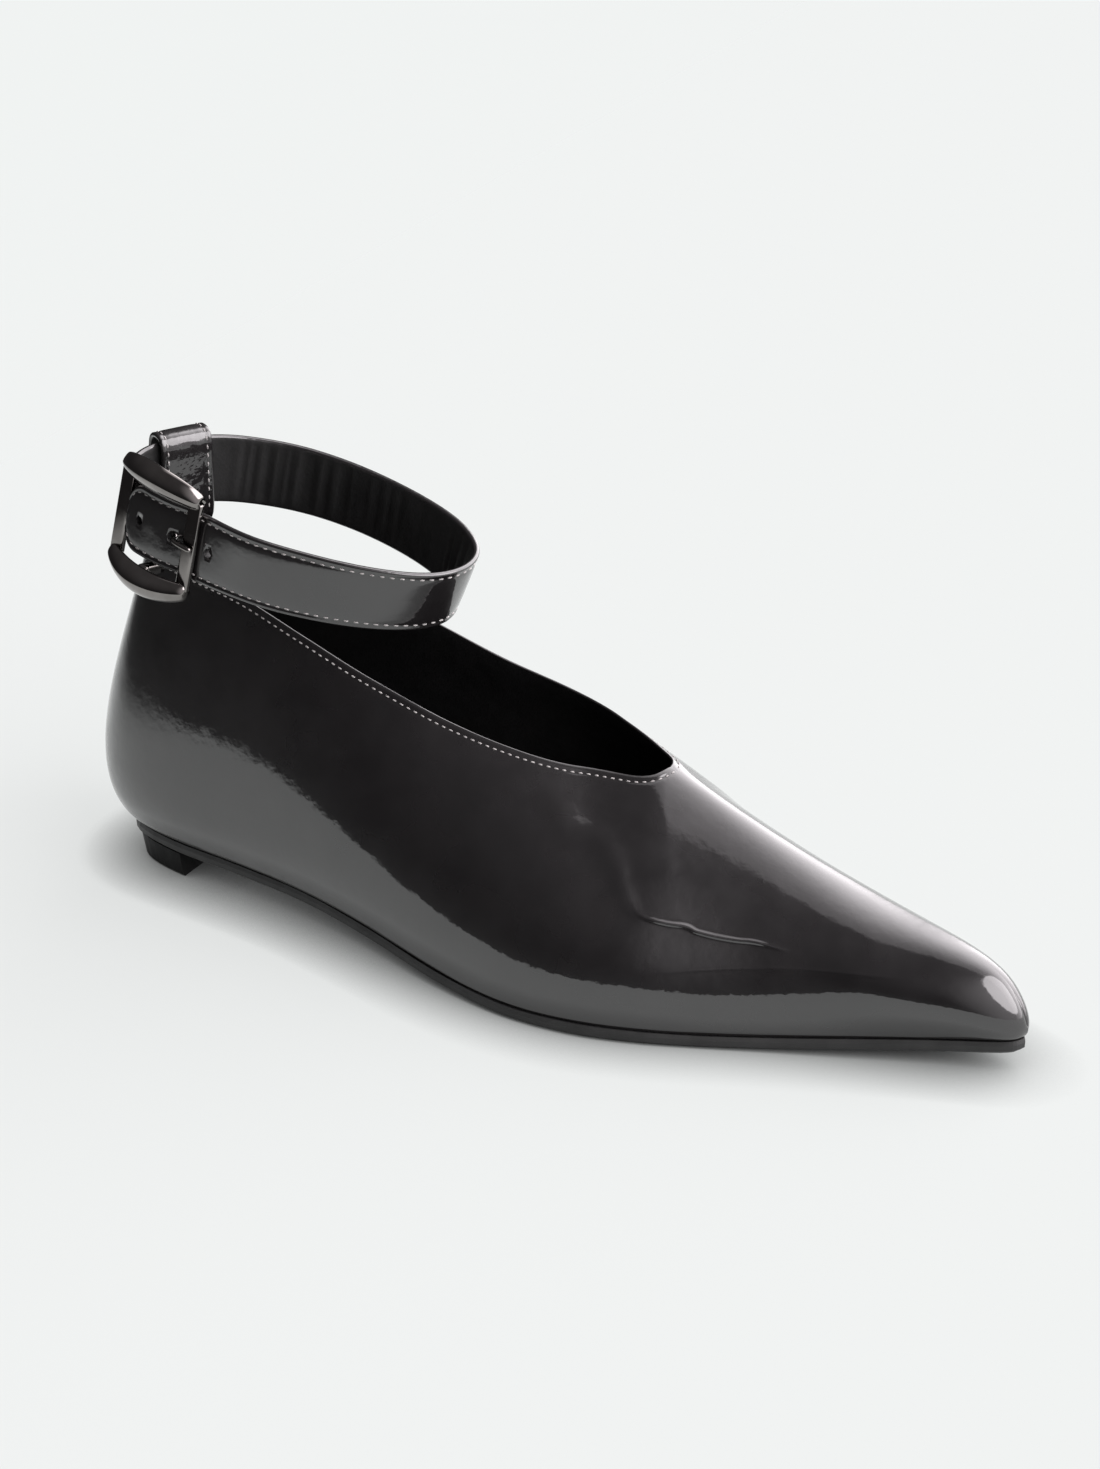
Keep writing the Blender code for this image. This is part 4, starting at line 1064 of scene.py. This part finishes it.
def polished_metal(name, dark, light, rough):
    """Plated metal: a warm grey mirror with faint handling marks and a very slight ripple."""
    material, tree, shader = new_finish(name)
    shader.inputs["Metallic"].default_value = 1.0
    mottled(tree, "Base Color", ((0.3, dark), (0.7, light)), scale=240.0, detail=3.0)
    mottled(tree, "Roughness", ((0.45, rough), (0.75, rough + 0.1)), scale=900.0, detail=5.0,
            stretch=(0.3, 1.0, 1.0))
    tree.links.new(bumped(tree, ((noise(tree, 320.0, detail=1.0), 0.00001),)), shader.inputs["Normal"])
    return material


gunmetal_plate = polished_metal("gunmetal_plate", (0.2, 0.188, 0.18), (0.26, 0.246, 0.238), 0.06)
frame_parts = [bowed_bar(1.0), bowed_bar(-1.0), lug(1.0), lug(-1.0)]
for forward in (PLATE_FORWARD, -PLATE_FORWARD):
    frame_parts.append(upright_bar(forward, PLATE_OUTWARD, PLATE_HALF, PLATE_REACH, PLATE_SQUARENESS,
                                   PLATE_SIDES))
frame_parts.append(upright_bar(0.0, 0.0, PIN_HALF, PIN_REACH, 1.0, PIN_SIDES))
frame_points, frame_faces = joined(frame_parts)
dress("buckle_bars", frame_points, (frame_faces,), (gunmetal_plate,), ("buckle_frame",))

# Prong: a flat-sided eye bent round the pin, then a round wire that ends in a blunt tip
round_pin = np.linspace(0.0, 2.0 * math.pi, EYE_STATIONS)
eye_centres = at_buckle(EYE_RADIUS * np.cos(round_pin), EYE_RADIUS * np.sin(round_pin))
eye_out = unit(eye_centres - np.array(BUCKLE_CENTRE))
eye = round_bar(eye_centres, eye_out, BUCKLE_UPWARD, *EYE_WIRE, WIRE_SIDES, EYE_SQUARENESS)
wire = along_evenly(PRONG, WIRE_STEPS)
wire_line = at_buckle(wire[:, 0], wire[:, 1])
wire_run = unit(np.gradient(wire_line, axis=0))
into_tip = np.linspace(1.0 - WIRE_TIP_PARTS, 1.0, len(wire)).clip(0.0, 1.0)
blunt = WIRE_RADIUS * np.sqrt(np.clip(1.0 - into_tip ** 4, WIRE_TIP_LEAST, 1.0))
arm = round_bar(wire_line, np.cross(BUCKLE_UPWARD, wire_run), BUCKLE_UPWARD, blunt, blunt, WIRE_SIDES)
prong_points, prong_faces = joined([eye, arm])
dress("prong_wire", prong_points, (prong_faces,), (gunmetal_plate,), ("buckle_prong",))

# Floor, studio light and camera
# The shoe stands on a wide sheet of pale paper that glows with painted light of its own, dimmed close round
# the shoe as a painted contact shadow, and melts into the backdrop at its left and front edges. A broad soft
# light stands behind the shoe and a smaller one beyond its toe, and the camera keeps the photograph's viewing
# angle.
FLOOR_LEFT, FLOOR_RIGHT, FLOOR_FRONT, FLOOR_BACK = -0.47, 9.0, -0.33, 9.0
FLOOR_FADE = (0.24, 0.09)
FLOOR_TONE = (0.13, 0.138, 0.134)
FLOOR_GLOW = (0.64, 0.6527, 0.6477)
# Painted contact shadow: how near the shoe the paper's own glow begins to dim, and how steeply it does
PAINTED_SHADOW_REACH, PAINTED_SHADOW_DEPTH = 0.019, 1.5
PAINTED_SHADOW_SAMPLES = 8


def soft_step(tree, value, start, end, most=1.0):
    """Value turned into a soft step: nothing at the start, the most from the end on."""
    step = tree.nodes.new("ShaderNodeMapRange")
    step.interpolation_type = "SMOOTHSTEP"
    step.inputs["From Min"].default_value = start
    step.inputs["From Max"].default_value = end
    step.inputs["To Max"].default_value = most
    tree.links.new(value, step.inputs["Value"])
    return step.outputs["Result"]


floor_mesh = bpy.data.meshes.new("pale_floor")
floor_mesh.from_pydata([(FLOOR_LEFT, FLOOR_FRONT, 0.0), (FLOOR_RIGHT, FLOOR_FRONT, 0.0),
                        (FLOOR_RIGHT, FLOOR_BACK, 0.0), (FLOOR_LEFT, FLOOR_BACK, 0.0)], [], [(0, 1, 2, 3)])
floor = bpy.data.objects.new("pale_floor", floor_mesh)
bpy.context.scene.collection.objects.link(floor)
paper, paper_tree, paper_shader = new_finish("pale_paper")
paper_shader.inputs["Base Color"].default_value = (*FLOOR_TONE, 1.0)
paper_shader.inputs["Emission Color"].default_value = (*FLOOR_GLOW, 1.0)
paper_shader.inputs["Roughness"].default_value = 1.0
paper_shader.inputs["Specular IOR Level"].default_value = 0.0
paper_nodes, paper_links = paper_tree.nodes, paper_tree.links
# Painted contact shadow: the paper's glow is dimmed where the shoe stands close above it
painted_shadow_ao = paper_nodes.new("ShaderNodeAmbientOcclusion")
painted_shadow_ao.samples = PAINTED_SHADOW_SAMPLES
painted_shadow_ao.inputs["Distance"].default_value = PAINTED_SHADOW_REACH
paper_links.new(summed(paper_tree, "POWER", painted_shadow_ao.outputs["AO"], PAINTED_SHADOW_DEPTH),
                paper_shader.inputs["Emission Strength"])
paper_place = paper_nodes.new("ShaderNodeSeparateXYZ")
paper_links.new(paper_nodes.new("ShaderNodeTexCoord").outputs["Object"], paper_place.inputs["Vector"])
fades = [soft_step(paper_tree, paper_place.outputs[axis], edge, edge + reach)
         for axis, edge, reach in zip("XY", (FLOOR_LEFT, FLOOR_FRONT), FLOOR_FADE)]
paper_links.new(summed(paper_tree, "MULTIPLY", *fades), paper_shader.inputs["Alpha"])
floor_mesh.materials.append(paper)

# Columns: way to the light, where its edge begins and ends as a cosine, the same from the right, brightness
LIGHTS = (
    ((0.0, 1.0, 0.0), -0.13, -0.06, -0.36, -0.12, 0.6),
    ((0.0, 1.0, 0.0), -0.1, 0.75, -0.36, -0.12, 3.7),
    ((0.78, -0.06, 0.62), 0.855, 0.885, -2.0, -1.0, 4.4),
    ((0.85, -0.35, 0.38), 0.6, 0.95, -2.0, -1.0, 0.7),
    ((0.0, 0.0, 1.0), 0.1, 0.8, -2.0, -1.0, 0.08),
)
FROM_RIGHT = (1.0, 0.0, 0.0)
ROOM_BRIGHTNESS = 0.04
LIGHT_TONE = (1.0, 0.955, 0.98)
BACKDROP_TONE = (0.875, 0.896, 0.888)
world = bpy.data.worlds.new("studio")
bpy.context.scene.world = world
world.use_nodes = True
nodes, links = world.node_tree.nodes, world.node_tree.links
nodes.clear()
way = nodes.new("ShaderNodeTexCoord")
brightness = ROOM_BRIGHTNESS
for light_way, edge_start, edge_end, side_start, side_end, strength in LIGHTS:
    edges = []
    for aim, limits in ((light_way, (edge_start, edge_end, strength)), (FROM_RIGHT, (side_start, side_end))):
        facing = nodes.new("ShaderNodeVectorMath")
        facing.operation = "DOT_PRODUCT"
        facing.inputs[1].default_value = Vector(aim).normalized()
        links.new(way.outputs["Generated"], facing.inputs[0])
        edges.append(soft_step(world.node_tree, facing.outputs["Value"], *limits))
    brightness = summed(world.node_tree, "MULTIPLY_ADD", *edges, brightness)
light = nodes.new("ShaderNodeBackground")
light.inputs["Color"].default_value = (*LIGHT_TONE, 1.0)
backdrop = nodes.new("ShaderNodeBackground")
backdrop.inputs["Color"].default_value = (*BACKDROP_TONE, 1.0)
seen = nodes.new("ShaderNodeLightPath")
choice = nodes.new("ShaderNodeMixShader")
output = nodes.new("ShaderNodeOutputWorld")
links.new(brightness, light.inputs["Strength"])
links.new(seen.outputs["Is Camera Ray"], choice.inputs["Fac"])
links.new(light.outputs["Background"], choice.inputs[1])
links.new(backdrop.outputs["Background"], choice.inputs[2])
links.new(choice.outputs["Shader"], output.inputs["Surface"])
bpy.context.scene.view_settings.view_transform = "Standard"

CAMERA_PLACE = (687.7, -946.0, 606.6)
CAMERA_LENS = 116.0
camera_data = bpy.data.cameras.new("camera")
camera_data.lens = CAMERA_LENS
camera = bpy.data.objects.new("camera", camera_data)
bpy.context.scene.collection.objects.link(camera)
camera.location = np.array(CAMERA_PLACE) * MM + SHOE_SHIFT
aim = (Vector(cad_box[0]) + Vector(cad_box[1])) / 2
camera.rotation_euler = (aim - camera.location).to_track_quat("-Z", "Y").to_euler()
bpy.context.scene.camera = camera
